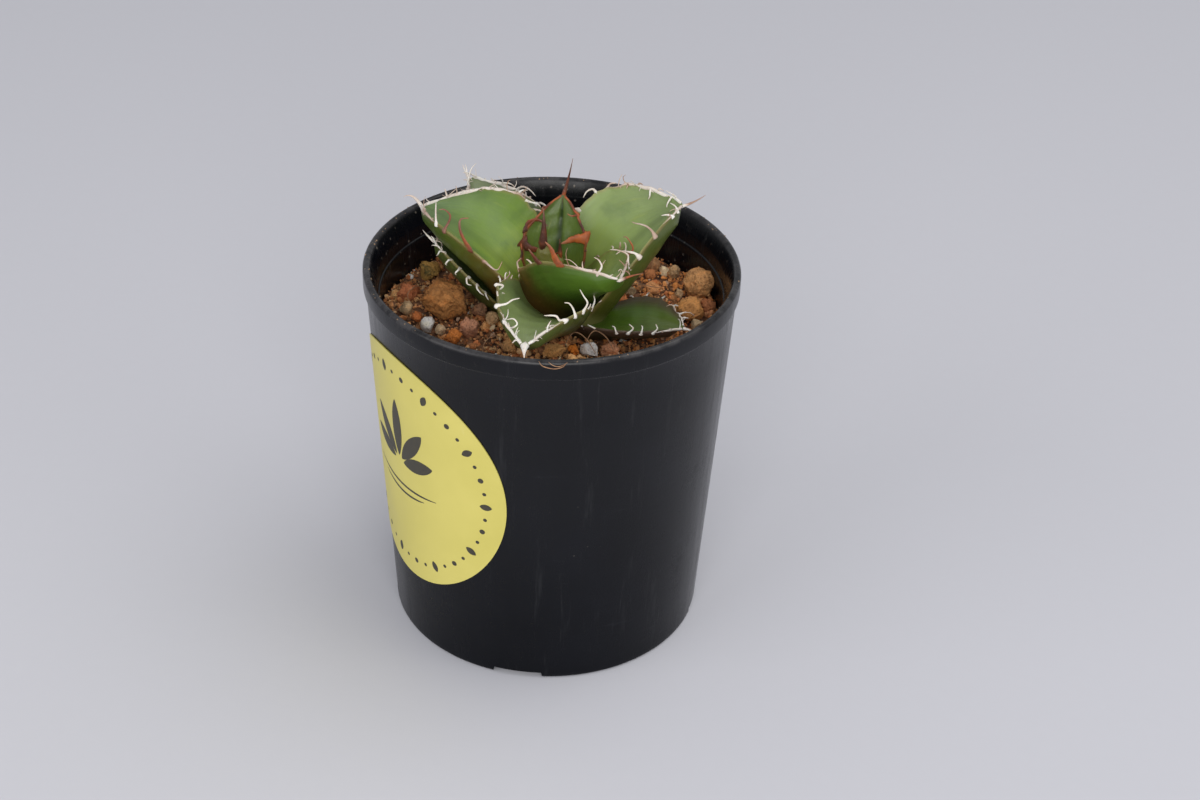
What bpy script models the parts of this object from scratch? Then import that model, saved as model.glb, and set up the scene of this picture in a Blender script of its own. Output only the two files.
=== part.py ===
"""Small agave in a black nursery pot: one solid for each piece, in metres, +Z up.

The pot stands on Z = 0 with its axis on Z. X runs to the right and Y to the back.
Run it with: blender --background --python part.py
"""

import math
import random

import bmesh
import bpy
from mathutils import Matrix, Vector, noise

MM = 0.001
GAP = 0.3 * MM

# Pot
RIM_RADIUS = 37.5 * MM
POT_HEIGHT = 80.0 * MM
FOOT_RADIUS = 32.3 * MM
LIP_HEIGHT = 4.1 * MM
LIP_PROUD = 0.55 * MM
INNER_EDGE_RADIUS = 34.8 * MM
INNER_EDGE_DEPTH = 3.5 * MM
LEDGE_DEPTH = 6.4 * MM
LEDGE_STEP = 0.35 * MM
FLOOR_UNDERSIDE = 1.8 * MM
FLOOR_TOP = 3.4 * MM
FLOOR_RADIUS = 31.1 * MM
FOOT_RING_WIDTH = 1.5 * MM
POT_SEGMENTS = 56
NOTCH_COUNT = 4
NOTCH_WIDTH = 11.0 * MM
NOTCH_HEIGHT = 1.4 * MM
CENTRE_HOLE_RADIUS = 5.0 * MM
SIDE_HOLE_RADIUS = 3.0 * MM
SIDE_HOLE_COUNT = 6
SIDE_HOLE_CIRCLE = 20.0 * MM

# Round sticker on the wall
LABEL_RADIUS = 26.8 * MM
LABEL_THICKNESS = 0.2 * MM
LABEL_GAP = 0.2 * MM
LABEL_AZIMUTH = -147.0
LABEL_CENTRE_HEIGHT = 43.6 * MM

# Substrate: bulk filling, with the loose top grains as separate pieces
SOIL_LEVEL = POT_HEIGHT - 12.0 * MM
SOIL_BOTTOM = FLOOR_TOP + GAP
SOIL_HEAPS = (
    {"azimuth": -88, "radius": 25, "height": 3.6, "spread": 13},
    {"azimuth": -150, "radius": 25, "height": 2.2, "spread": 12},
    {"azimuth": 184, "radius": 29, "height": 3.0, "spread": 11},
    {"azimuth": 8, "radius": 27, "height": 1.4, "spread": 10},
    {"azimuth": 80, "radius": 20, "height": -1.2, "spread": 16},
)

# Stem and roots
STEM_TOP = POT_HEIGHT - 8.6 * MM
STEM_RADIUS = 3.6 * MM
STEM_LENGTH = 14.0 * MM
ROOT_COUNT = 6
ROOT_RADIUS = 0.8 * MM
ROOT_REACH = 19.0 * MM
ROOT_DROP = 26.0 * MM

# Central bud: the youngest leaves still rolled round each other
BUD = {"x": -0.2, "y": -0.9, "base": -8.4, "top": 4.8, "radius": 4.3, "spine": 7.6}

# Leaves from the youngest outwards. Angles are in degrees and lengths in millimetres,
# with heights from the rim. rise is the angle of the midrib above level, at its base
# and at its tip; swing turns it sideways along its length; cup is half of the arc
# that the cross-section makes, in radians, at the base and at the tip.
LEAVES = {
    "leaf_1": {
        "azimuth": 78, "base": (2.4, -9.0), "length": 20.4, "rise": (75, 67.5),
        "swing": 0, "roll": -4, "twist": 1, "half_width": 7.4, "widest_at": 0.44,
        "base_width": 0.75, "cup": (1.22, 0.72), "taper": 0.85, "thick": (3.0, 1.6),
        "spine": ((1.0, 0.3, 3.6), (1.7, 0.4, 8.0)),
    },
    "leaf_2": {
        "azimuth": -56, "base": (2.5, -9.2), "length": 25.6, "rise": (58.5, 20),
        "swing": 4.6, "roll": -7, "twist": -6, "half_width": 12.1, "widest_at": 0.40,
        "base_width": 0.75, "cup": (1.29, 0.87), "taper": 0.88, "thick": (4.4, 2.4),
        "spine": ((2.2, -0.4, 1.5), (4.4, -0.6, 2.0)),
    },
    "leaf_3": {
        "azimuth": 153.5, "base": (4.2, -10.6), "length": 30.7, "rise": (54.7, 6.5),
        "swing": -3.4, "roll": 3, "twist": 13, "half_width": 14.1, "widest_at": 0.56,
        "base_width": 0.62, "cup": (1.22, 0.68), "taper": 0.85, "thick": (4.6, 2.4),
        "spine": ((-2.0, 0.6, 3.4), (-3.8, 0.9, 1.8)),
    },
    "leaf_4": {
        "azimuth": 12.6, "base": (5.7, -10.8), "length": 30.0, "rise": (59.6, 36.0),
        "swing": -12.2, "roll": 11.5, "twist": -16.8, "half_width": 14.0, "widest_at": 0.56,
        "base_width": 0.63, "cup": (1.11, 0.75), "taper": 0.92, "thick": (4.6, 2.4),
        "spine": ((2.0, 0.2, 0.5), (4.4, 0.4, 2.3)),
    },
    "leaf_5": {
        "azimuth": 261.3, "base": (4.9, -9.5), "length": 31.1, "rise": (32.5, 8.5),
        "swing": 1.6, "roll": -10, "twist": 24, "half_width": 10.5, "widest_at": 0.40,
        "base_width": 0.67, "cup": (1.15, 0.92), "taper": 0.80, "thick": (4.4, 2.2),
        "spine": ((-0.1, -1.7, 0.3), (0.0, -3.6, -0.3)),
    },
    "leaf_6": {
        "azimuth": 116.5, "base": (5.6, -13.0), "length": 32.3, "rise": (32.2, 29.7),
        "swing": 18.2, "roll": -6.3, "twist": 14.8, "half_width": 9.4, "widest_at": 0.47,
        "base_width": 0.62, "cup": (0.81, 0.92), "taper": 0.89, "thick": (4.0, 2.0),
        "spine": ((-1.0, 1.0, 1.0), (-1.6, 1.6, 2.6)),
    },
    "leaf_7": {
        "azimuth": -31.2, "base": (4.3, -13.5), "length": 26.6, "rise": (25.3, 9.6),
        "swing": 4.2, "roll": -6, "twist": 13.4, "half_width": 9.6, "widest_at": 0.48,
        "base_width": 0.58, "cup": (0.62, 0.38), "taper": 0.83, "thick": (3.4, 1.8),
        "spine": ((1.3, -0.8, 0.2), (2.4, -1.4, 0.0)),
    },
    "leaf_8": {
        "azimuth": 168.7, "base": (5.45, -14.5), "length": 24.8, "rise": (37.3, 41.1),
        "swing": -13.5, "roll": 18.7, "twist": 9.6, "half_width": 9.0, "widest_at": 0.5,
        "base_width": 0.6, "cup": (0.36, 0.46), "taper": 0.85, "thick": (3.0, 1.6),
        "spine": ((-1.2, 0.3, 0.9), (-2.0, 0.5, 2.0)),
    },
}
LEAF_STEPS = 11
LEAF_ACROSS = 8
SPINE_STEPS = 4
MARGIN_THICKNESS = 0.7
SPINE_RADIUS = 0.55

# Loose grains that stand out of the surface: place and size in millimetres,
# (azimuth, radius, depth of centre below the rim, half length, half width, half height)
GRAINS = {
    "pebble_brown": (-166.2, 21.9, 6.18, 4.8, 3.9, 3.6),
    "pebble_tan": (15.8, 31.1, 9.02, 3.3, 2.5, 2.7),
    "pebble_ochre": (-0.8, 27.4, 9.75, 3.1, 2.4, 2.0),
    "grain_moss_yellow": (149.6, 29.3, 10.88, 2.6, 1.9, 1.8),
    "pumice_left": (-153.9, 27, 8.01, 1.7, 1.3, 1.5),
    "pumice_pale_left": (-167.9, 29.4, 7.52, 1.6, 1.3, 1.4),
    "pumice_front": (-68.1, 19.4, 9.13, 1.8, 1.3, 1.5),
    "pumice_right": (-10.3, 29.4, 10.86, 1.3, 1, 1.1),
    "grain_orange": (-77.5, 19.9, 8.64, 1.2, 1.0, 1.1),
    "grain_pink": (-54.7, 19.9, 9.98, 2, 1.5, 1.7),
    "grain_tan_front": (-88.2, 20.7, 8.09, 2.4, 1.5, 1.3),
    "grain_red_left": (176.7, 28.7, 8.09, 2.6, 2, 1.9),
    "grain_rust_left": (-161.8, 28, 7.89, 1.2, 1, 1.1),
    "grain_brown_front": (-144.3, 19.7, 8.75, 1.8, 1.7, 2.3),
    "grain_grey_brown": (-165.3, 14.8, 9.18, 1.9, 1.3, 1.4),
    "grain_cream_front": (-154.6, 12.9, 9.91, 1.6, 1.2, 1.2),
    "grain_pale_front": (-149.2, 25.2, 8.46, 1.4, 1, 0.9),
    "grain_sand_front": (-115, 19.1, 9.09, 1.8, 1.4, 1.6),
    "grain_amber_front": (-142.4, 24, 8.83, 2.2, 1.5, 1.5),
    "grain_sand_right": (13.6, 26.6, 10.18, 1.1, 0.9, 1),
    "grain_buff_right": (32.8, 30.1, 11, 1.3, 1, 1.5),
    "grain_cream_right": (29.9, 18.5, 11.65, 1.3, 1.1, 1.1),
    "grain_rust_right": (3.2, 31.7, 10.44, 1.9, 1.4, 1.3),
    "grain_back_right": (44.5, 29.3, 11.83, 2.2, 1.6, 1.6),
    "grain_back": (96, 28.4, 12.8, 2.2, 1.7, 1.7),
    "grain_back_left": (128, 29.6, 12, 2, 1.6, 1.5),
}
GRAIN_FACETS = 2

LEAF_GREEN = (0.13, 0.22, 0.07)


def clear_scene():
    for obj in list(bpy.data.objects):
        bpy.data.objects.remove(obj, do_unlink=True)


def make_material(name, colour, roughness):
    """A Principled material with one colour."""
    material = bpy.data.materials.new(name)
    material.use_nodes = True
    shader = material.node_tree.nodes["Principled BSDF"]
    shader.inputs["Base Color"].default_value = (*colour, 1.0)
    shader.inputs["Roughness"].default_value = roughness
    shader.inputs["Metallic"].default_value = 0.0
    material.diffuse_color = (*colour, 1.0)
    return material


def add_object(name, mesh, material, smooth_angle=40):
    obj = bpy.data.objects.new(name, mesh)
    bpy.context.scene.collection.objects.link(obj)
    mesh.materials.clear()
    mesh.materials.append(material)
    mesh.shade_smooth()
    mesh.set_sharp_from_angle(angle=math.radians(smooth_angle))
    return obj


def mesh_from_bmesh(name, bm):
    bmesh.ops.recalc_face_normals(bm, faces=bm.faces)
    mesh = bpy.data.meshes.new(name)
    bm.to_mesh(mesh)
    bm.free()
    return mesh


def make_cutter(name, mesh, grow=0.0):
    """A hidden helper for Booleans, grown outwards by the given clearance."""
    cutter = bpy.data.objects.new(name, mesh)
    bpy.context.scene.collection.objects.link(cutter)
    cutter.hide_render = True
    cutter.display_type = "WIRE"
    if grow:
        swell = cutter.modifiers.new("Clearance", "DISPLACE")
        swell.strength = grow
        swell.mid_level = 0.0
    return cutter


def cut(obj, cutter, operation="DIFFERENCE"):
    boolean = obj.modifiers.new(cutter.name, "BOOLEAN")
    boolean.operation = operation
    boolean.solver = "EXACT"
    boolean.object = cutter


def apply_modifiers(obj):
    """Replaces the mesh with its evaluated form, and keeps only its largest body."""
    graph = bpy.context.evaluated_depsgraph_get()
    graph.update()
    mesh = bpy.data.meshes.new_from_object(obj.evaluated_get(graph))
    obj.modifiers.clear()
    bm = bmesh.new()
    bm.from_mesh(mesh)
    bmesh.ops.remove_doubles(bm, verts=bm.verts, dist=2e-6)
    bodies = connected_bodies(bm)
    bodies.sort(key=len, reverse=True)
    for body in bodies[1:]:
        bmesh.ops.delete(bm, geom=list(body), context="VERTS")
    bm.to_mesh(mesh)
    bm.free()
    obj.data = mesh


def connected_bodies(bm):
    """The sets of vertices that hang together."""
    left = set(bm.verts)
    bodies = []
    while left:
        seed = left.pop()
        body = {seed}
        front = [seed]
        while front:
            vert = front.pop()
            for edge in vert.link_edges:
                other = edge.other_vert(vert)
                if other not in body:
                    body.add(other)
                    front.append(other)
        left -= body
        bodies.append(body)
    return bodies


def polar(azimuth, radius, height):
    angle = math.radians(azimuth)
    return Vector((radius * math.cos(angle), radius * math.sin(angle), height))


def wall_radius(height):
    """Outer radius of the tapered wall at a height above the foot."""
    top = POT_HEIGHT - LIP_HEIGHT
    share = height / top
    return FOOT_RADIUS + (RIM_RADIUS - LIP_PROUD - FOOT_RADIUS) * share


def inner_radius(height):
    """Inner radius of the wall between the floor and the ledge."""
    top = POT_HEIGHT - LEDGE_DEPTH
    ledge_radius = INNER_EDGE_RADIUS - LEDGE_STEP - 0.3 * MM
    share = (height - FLOOR_TOP) / (top - FLOOR_TOP)
    return FLOOR_RADIUS + (ledge_radius - FLOOR_RADIUS) * share


def pot_profile():
    """Half section of the pot from the outer foot up over the lip and down inside."""
    lip_foot = POT_HEIGHT - LIP_HEIGHT
    edge_height = POT_HEIGHT - INNER_EDGE_DEPTH
    ledge = POT_HEIGHT - LEDGE_DEPTH
    foot_inner = FOOT_RADIUS - FOOT_RING_WIDTH
    mm = MM
    return [
        (0.0, FLOOR_UNDERSIDE),
        (foot_inner - 0.3 * mm, FLOOR_UNDERSIDE),
        (foot_inner, 0.3 * mm),
        (foot_inner + 0.3 * mm, 0.0),
        (FOOT_RADIUS - 0.5 * mm, 0.0),
        (FOOT_RADIUS - 0.1 * mm, 0.3 * mm),
        (wall_radius(1.1 * mm), 1.1 * mm),
        (wall_radius(lip_foot), lip_foot),
        (RIM_RADIUS - 0.15 * mm, lip_foot + 0.1 * mm),
        (RIM_RADIUS, lip_foot + 0.5 * mm),
        (RIM_RADIUS, POT_HEIGHT - 1.1 * mm),
        (RIM_RADIUS - 0.15 * mm, POT_HEIGHT - 0.5 * mm),
        (RIM_RADIUS - 0.5 * mm, POT_HEIGHT - 0.12 * mm),
        (RIM_RADIUS - 0.95 * mm, POT_HEIGHT),
        (RIM_RADIUS - 1.35 * mm, POT_HEIGHT - 0.2 * mm),
        (RIM_RADIUS - 1.75 * mm, POT_HEIGHT - 0.9 * mm),
        (INNER_EDGE_RADIUS, edge_height),
        (INNER_EDGE_RADIUS - 0.3 * mm, ledge + 0.25 * mm),
        (inner_radius(ledge), ledge),
        (inner_radius(FLOOR_TOP + 1.5 * mm), FLOOR_TOP + 1.5 * mm),
        (FLOOR_RADIUS - 1.4 * mm, FLOOR_TOP),
        (0.0, FLOOR_TOP),
    ]


def make_pot(material):
    bm = bmesh.new()
    verts = [bm.verts.new((r, 0.0, z)) for r, z in pot_profile()]
    edges = [bm.edges.new(pair) for pair in zip(verts, verts[1:])]
    bmesh.ops.spin(
        bm, geom=verts + edges, cent=(0, 0, 0), axis=(0, 0, 1),
        angle=math.tau, steps=POT_SEGMENTS,
    )
    bmesh.ops.remove_doubles(bm, verts=bm.verts, dist=1e-6)
    pot = add_object("pot", mesh_from_bmesh("pot", bm), material, 30)
    cut(pot, hole_cutter("centre_hole_cutter", 0.0, 0.0, CENTRE_HOLE_RADIUS))
    for i in range(SIDE_HOLE_COUNT):
        azimuth = 360 * i / SIDE_HOLE_COUNT + 15
        name = f"side_hole_cutter_{i + 1}"
        cut(pot, hole_cutter(name, azimuth, SIDE_HOLE_CIRCLE, SIDE_HOLE_RADIUS))
    for i in range(NOTCH_COUNT):
        cut(pot, notch_cutter(i, -100 + 360 * i / NOTCH_COUNT))
    apply_modifiers(pot)
    pot.data.shade_smooth()
    pot.data.set_sharp_from_angle(angle=math.radians(30))
    return pot


def hole_cutter(name, azimuth, circle, radius):
    bm = bmesh.new()
    bmesh.ops.create_cone(
        bm, cap_ends=True, segments=20, radius1=radius, radius2=radius, depth=8 * MM
    )
    cutter = make_cutter(name, mesh_from_bmesh(name, bm))
    cutter.location = polar(azimuth, circle, FLOOR_TOP)
    return cutter


def notch_cutter(index, azimuth):
    """A box with sloping ends that opens the foot ring for drainage."""
    bm = bmesh.new()
    bmesh.ops.create_cube(bm, size=1.0)
    for vert in bm.verts:
        width = NOTCH_WIDTH if vert.co.z < 0 else NOTCH_WIDTH - 1.2 * MM
        vert.co.x *= 6 * MM
        vert.co.y *= width
        vert.co.z *= 2 * NOTCH_HEIGHT
    name = f"notch_cutter_{index + 1}"
    cutter = make_cutter(name, mesh_from_bmesh(name, bm))
    cutter.location = polar(azimuth, FOOT_RADIUS, 0.0)
    cutter.rotation_euler.z = math.radians(azimuth)
    return cutter


def make_label(material):
    """A thin round sticker that follows the wall."""
    across, turns = 8, 32
    inner, outer = [], []
    bm = bmesh.new()
    for shell, lift in ((inner, LABEL_GAP), (outer, LABEL_GAP + LABEL_THICKNESS)):
        shell.append([bm.verts.new(on_wall(0.0, 0.0, lift))])
        for ring in range(1, across + 1):
            radius = LABEL_RADIUS * ring / across
            row = []
            for k in range(turns):
                angle = math.tau * k / turns
                spot = on_wall(radius * math.cos(angle), radius * math.sin(angle), lift)
                row.append(bm.verts.new(spot))
            shell.append(row)
        for low, high in zip(shell, shell[1:]):
            stitch(bm, low, high)
    stitch(bm, inner[-1], outer[-1])
    return add_object("label", mesh_from_bmesh("label", bm), material)


def on_wall(along, up, lift):
    """Point on the wall, given the distances along it and up from the label's centre."""
    height = LABEL_CENTRE_HEIGHT + up
    radius = wall_radius(height)
    azimuth = LABEL_AZIMUTH + math.degrees(along / wall_radius(LABEL_CENTRE_HEIGHT))
    return polar(azimuth, radius + lift, height)


def stitch(bm, low, high):
    """Faces between two closed rows of vertices; a row of one vertex is a centre."""
    count = len(high)
    for k in range(count):
        after = (k + 1) % count
        if len(low) == 1:
            bm.faces.new((low[0], high[k], high[after]))
        elif len(high) == 1:
            bm.faces.new((low[k], low[after], high[0]))
        else:
            bm.faces.new((low[k], low[after], high[after], high[k]))


def soil_height(x, y):
    """Height of the filling's surface above the foot."""
    height = SOIL_LEVEL
    for heap in SOIL_HEAPS:
        centre = polar(heap["azimuth"], heap["radius"] * MM, 0.0)
        away = (Vector((x, y, 0.0)) - centre).length / (heap["spread"] * MM)
        height += heap["height"] * MM * math.exp(-away * away)
    roughness = noise.noise(Vector((x, y, 0.0)) / (4 * MM))
    return height + 0.5 * MM * roughness


def make_substrate(material):
    rings, turns = 9, 40
    bm = bmesh.new()
    rows = [[bm.verts.new((0, 0, soil_height(0, 0)))]]
    for ring in range(1, rings + 1):
        row = []
        for k in range(turns):
            azimuth = 360 * k / turns
            radius = (inner_radius(SOIL_LEVEL) - GAP) * ring / rings
            spot = polar(azimuth, radius, 0.0)
            spot.z = soil_height(spot.x, spot.y)
            if ring == rings:
                spot = polar(azimuth, inner_radius(spot.z) - GAP, spot.z)
            row.append(bm.verts.new(spot))
        rows.append(row)
    corner = FLOOR_TOP + 1.5 * MM
    for radius, height in (
        (inner_radius(corner) - 1.2 * GAP, corner),
        (FLOOR_RADIUS - 1.4 * MM - GAP, SOIL_BOTTOM),
    ):
        row = [bm.verts.new(polar(360 * k / turns, radius, height)) for k in range(turns)]
        rows.append(row)
    rows.append([bm.verts.new((0, 0, SOIL_BOTTOM))])
    for low, high in zip(rows, rows[1:]):
        if len(high) == 1:
            for k in range(turns):
                bm.faces.new((low[k], low[(k + 1) % turns], high[0]))
        else:
            stitch(bm, low, high)
    return add_object("substrate", mesh_from_bmesh("substrate", bm), material)


def make_stem(material):
    """A short thick stem with its main roots joined to it."""
    bm = bmesh.new()
    sides = 16
    shape = ((0.25, -1.0), (0.75, -0.93), (0.9, -0.7), (1.0, -0.3), (0.98, -0.1), (0.8, 0.0))
    rows = [[bm.verts.new((0, 0, STEM_TOP - STEM_LENGTH - 0.6 * MM))]]
    for share, level in shape:
        radius = STEM_RADIUS * share
        height = STEM_TOP + STEM_LENGTH * level
        rows.append([bm.verts.new(polar(360 * k / sides, radius, height)) for k in range(sides)])
    rows.append([bm.verts.new((0, 0, STEM_TOP + 0.3 * MM))])
    for low, high in zip(rows, rows[1:]):
        if len(high) == 1:
            for k in range(sides):
                bm.faces.new((low[k], low[(k + 1) % sides], high[0]))
        else:
            stitch(bm, low, high)
    stem = add_object("stem_and_roots", mesh_from_bmesh("stem_and_roots", bm), material)
    for i in range(ROOT_COUNT):
        root = make_cutter(f"root_{i + 1}", root_mesh(i))
        cut(stem, root, "UNION")
    apply_modifiers(stem)
    stem.data.shade_smooth()
    return stem


def root_mesh(index):
    """A tapering root that leaves the stem sideways and then turns down."""
    rng = random.Random(40 + index)
    azimuth = 360 * index / ROOT_COUNT + rng.uniform(-12, 12)
    sides, steps = 6, 8
    start = STEM_TOP - STEM_LENGTH * rng.uniform(0.62, 0.9)
    reach = ROOT_REACH * rng.uniform(0.75, 1.0)
    drop = ROOT_DROP * rng.uniform(0.7, 1.1)
    path = []
    for step in range(steps + 1):
        t = step / steps
        spread = STEM_RADIUS * 0.5 + reach * math.sin(t * math.pi / 2)
        turn = azimuth + 14 * math.sin(3 * t + index)
        path.append(polar(turn, spread, start - drop * t * t))
    return tube_mesh(f"root_{index + 1}", path, ROOT_RADIUS, 0.4 * ROOT_RADIUS, sides)


def tube_mesh(name, path, radius_start, radius_end, sides):
    """A tube of round section along the path, closed at both ends."""
    bm = bmesh.new()
    rows = []
    for i, spot in enumerate(path):
        along = path[min(i + 1, len(path) - 1)] - path[max(i - 1, 0)]
        turn = along.to_track_quat("Z", "Y").to_matrix()
        radius = radius_start + (radius_end - radius_start) * i / (len(path) - 1)
        ring = [turn @ polar(360 * k / sides, radius, 0.0) + spot for k in range(sides)]
        rows.append([bm.verts.new(co) for co in ring])
    for low, high in zip(rows, rows[1:]):
        stitch(bm, low, high)
    bm.faces.new(rows[0])
    bm.faces.new(rows[-1])
    return mesh_from_bmesh(name, bm)


def mix(a, b, t):
    return a + (b - a) * t


def leaf_frames(leaf, steps):
    """Midrib points with the directions across and out of the upper face there."""
    radius, height = leaf["base"]
    spot = polar(leaf["azimuth"], radius, height)
    frames = []
    previous = None
    for i in range(steps + 1):
        t = i / steps
        rise = math.radians(mix(*leaf["rise"], t))
        heading = math.radians(leaf["azimuth"] + leaf["swing"] * t * t)
        flat = Vector((math.cos(heading), math.sin(heading), 0.0))
        along = flat * math.cos(rise) + Vector((0, 0, math.sin(rise)))
        if previous is not None:
            spot = spot + (along + previous) * (leaf["length"] / steps / 2)
        previous = along
        side = Vector((-math.sin(heading), math.cos(heading), 0.0))
        turn = Matrix.Rotation(math.radians(leaf["roll"] + leaf["twist"] * (t - 0.5)), 3, along)
        across = turn @ side
        frames.append((t, spot.copy(), across, along.cross(across)))
    return frames


def leaf_half_width(leaf, t):
    widest = leaf["widest_at"]
    if t < widest:
        swell = math.sin(math.pi / 2 * t / widest) ** 1.5
        share = mix(leaf["base_width"], 1.0, swell)
    else:
        share = math.cos(math.pi / 2 * (t - widest) / (1 - widest)) ** leaf["taper"]
    return leaf["half_width"] * share


def leaf_section(leaf, frame):
    """Closed loop of points round the leaf at one frame: upper face, then lower."""
    t, centre, across, out = frame
    width = max(leaf_half_width(leaf, t), SPINE_RADIUS)
    cup = mix(*leaf["cup"], t)
    keel = mix(*leaf["thick"], t) * min(1.0, width / (0.35 * leaf["half_width"]))
    upper, lower = [], []
    for i in range(LEAF_ACROSS + 1):
        s = 2 * i / LEAF_ACROSS - 1
        spot = centre + across * (width * math.sin(cup * s) / cup)
        spot = spot + out * (width * (1 - math.cos(cup * s)) / cup)
        facing = out * math.cos(cup * s) - across * math.sin(cup * s)
        depth = MARGIN_THICKNESS + (keel - MARGIN_THICKNESS) * (1 - s * s)
        upper.append(spot)
        lower.append(spot - facing * max(depth, MARGIN_THICKNESS))
    return upper + lower[::-1]


def spine_sections(leaf, frame, count):
    """Round loops that carry the leaf's tip out along its curved terminal spine."""
    t, tip, across, out = frame
    bend, end = (Vector(v) for v in leaf["spine"])
    sections = []
    for step in range(1, SPINE_STEPS + 1):
        u = step / SPINE_STEPS
        centre = tip + bend * (2 * u * (1 - u)) + end * (u * u)
        along = (bend * (2 - 4 * u) + end * (2 * u)).normalized()
        side = (across - along * across.dot(along)).normalized()
        up = along.cross(side)
        radius = SPINE_RADIUS * (1.0 - 0.8 * u)
        loop = []
        half = count // 2
        for i in range(half):
            angle = math.pi - math.pi * i / (half - 1)
            loop.append(centre + side * (radius * math.cos(angle)) + up * (radius * math.sin(angle)))
        for i in range(half):
            angle = -math.pi * (i + 0.5) / half
            loop.append(centre + side * (radius * math.cos(angle)) + up * (radius * math.sin(angle)))
        sections.append(loop)
    return sections


def leaf_mesh(name, leaf):
    frames = leaf_frames(leaf, LEAF_STEPS)
    loops = [leaf_section(leaf, frame) for frame in frames[:-1]]
    loops += spine_sections(leaf, frames[-1], len(loops[0]))
    lift = Vector((0, 0, POT_HEIGHT))
    bm = bmesh.new()
    rows = [[bm.verts.new(co * MM + lift) for co in loop] for loop in loops]
    for low, high in zip(rows, rows[1:]):
        stitch(bm, low, high)
    bm.faces.new(rows[0])
    bm.faces.new(rows[-1])
    bmesh.ops.triangulate(bm, faces=bm.faces)
    return mesh_from_bmesh(name, bm)


def bud_mesh():
    """A rolled cone that narrows to a terminal spine."""
    sides = 12
    height = BUD["top"] - BUD["base"]
    bm = bmesh.new()
    rows = []
    for t, share in ((0, 0.8), (0.2, 1.0), (0.45, 0.86), (0.7, 0.52), (0.88, 0.24), (1, 0.12)):
        level = BUD["base"] + height * t
        ring = [polar(360 * k / sides, BUD["radius"] * share, level) for k in range(sides)]
        rows.append(ring)
    for u in (0.5, 1.0):
        level = BUD["top"] + BUD["spine"] * u
        radius = BUD["radius"] * 0.12 * (1 - 0.75 * u)
        rows.append([polar(360 * k / sides, radius, level) for k in range(sides)])
    shift = Vector((BUD["x"] * MM, BUD["y"] * MM, POT_HEIGHT))
    rows = [[bm.verts.new(co * MM + shift) for co in row] for row in rows]
    for low, high in zip(rows, rows[1:]):
        stitch(bm, low, high)
    bm.faces.new(rows[0])
    bm.faces.new(rows[-1])
    return mesh_from_bmesh("bud", bm)


def grain_mesh(name, half_sizes, seed):
    """An angular lump: a small sphere pushed in and out."""
    rng = random.Random(seed)
    bm = bmesh.new()
    bmesh.ops.create_icosphere(bm, subdivisions=GRAIN_FACETS, radius=1.0)
    offset = Vector((rng.uniform(0, 50), rng.uniform(0, 50), rng.uniform(0, 50)))
    for vert in bm.verts:
        lump = 1.0 + 0.28 * noise.noise(vert.co * 1.3 + offset)
        vert.co = Vector(c * h * MM * lump for c, h in zip(vert.co, half_sizes))
    bmesh.ops.rotate(bm, verts=bm.verts, matrix=Matrix.Rotation(rng.uniform(-0.5, 0.5), 3, "Y"))
    return mesh_from_bmesh(name, bm)


def make_grains(material_of):
    grains = []
    for seed, (name, spec) in enumerate(GRAINS.items()):
        azimuth, radius, depth, *half_sizes = spec
        mesh = grain_mesh(name, half_sizes, seed + 7)
        grain = add_object(name, mesh, material_of(name), 30)
        grain.location = polar(azimuth, radius * MM, POT_HEIGHT - depth * MM)
        grain.rotation_euler.z = math.radians(azimuth + 90 + 25 * math.sin(seed))
        grains.append(grain)
    return grains


def grain_material(name):
    colours = {
        "pebble_brown": (0.29, 0.14, 0.05), "pebble_tan": (0.42, 0.22, 0.08),
        "pebble_ochre": (0.50, 0.27, 0.09), "grain_moss_yellow": (0.34, 0.22, 0.07),
        "pumice_left": (0.72, 0.70, 0.68), "pumice_pale_left": (0.62, 0.50, 0.33),
        "pumice_front": (0.72, 0.70, 0.70), "pumice_right": (0.66, 0.52, 0.34),
        "grain_orange": (0.62, 0.20, 0.03), "grain_pink": (0.46, 0.24, 0.16),
        "grain_red_left": (0.40, 0.17, 0.09), "grain_rust_left": (0.38, 0.13, 0.05),
        "grain_rust_right": (0.42, 0.18, 0.07), "grain_amber_front": (0.62, 0.22, 0.06),
        "grain_brown_front": (0.46, 0.26, 0.18), "grain_grey_brown": (0.30, 0.20, 0.15),
        "grain_cream_front": (0.58, 0.42, 0.26), "grain_cream_right": (0.60, 0.46, 0.28),
    }
    return make_material(name, colours.get(name, (0.42, 0.25, 0.12)), 0.9)


def make_plant(stem, leaf_material, bud_material):
    """Bud and leaves, each one cut clear of the pieces inside it."""
    bud = add_object("bud", bud_mesh(), bud_material)
    inner = [make_cutter("stem_clearance", stem.data.copy(), GAP)]
    for cutter in inner:
        cut(bud, cutter)
    apply_modifiers(bud)
    inner.append(make_cutter("bud_clearance", bud.data.copy(), GAP))
    pieces = [bud]
    for name, leaf in LEAVES.items():
        mesh = leaf_mesh(name, leaf)
        obj = add_object(name, mesh, leaf_material(name))
        for cutter in inner:
            cut(obj, cutter)
        inner.append(make_cutter(f"{name}_clearance", mesh.copy(), GAP))
        apply_modifiers(obj)
        pieces.append(obj)
    return pieces, inner


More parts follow.
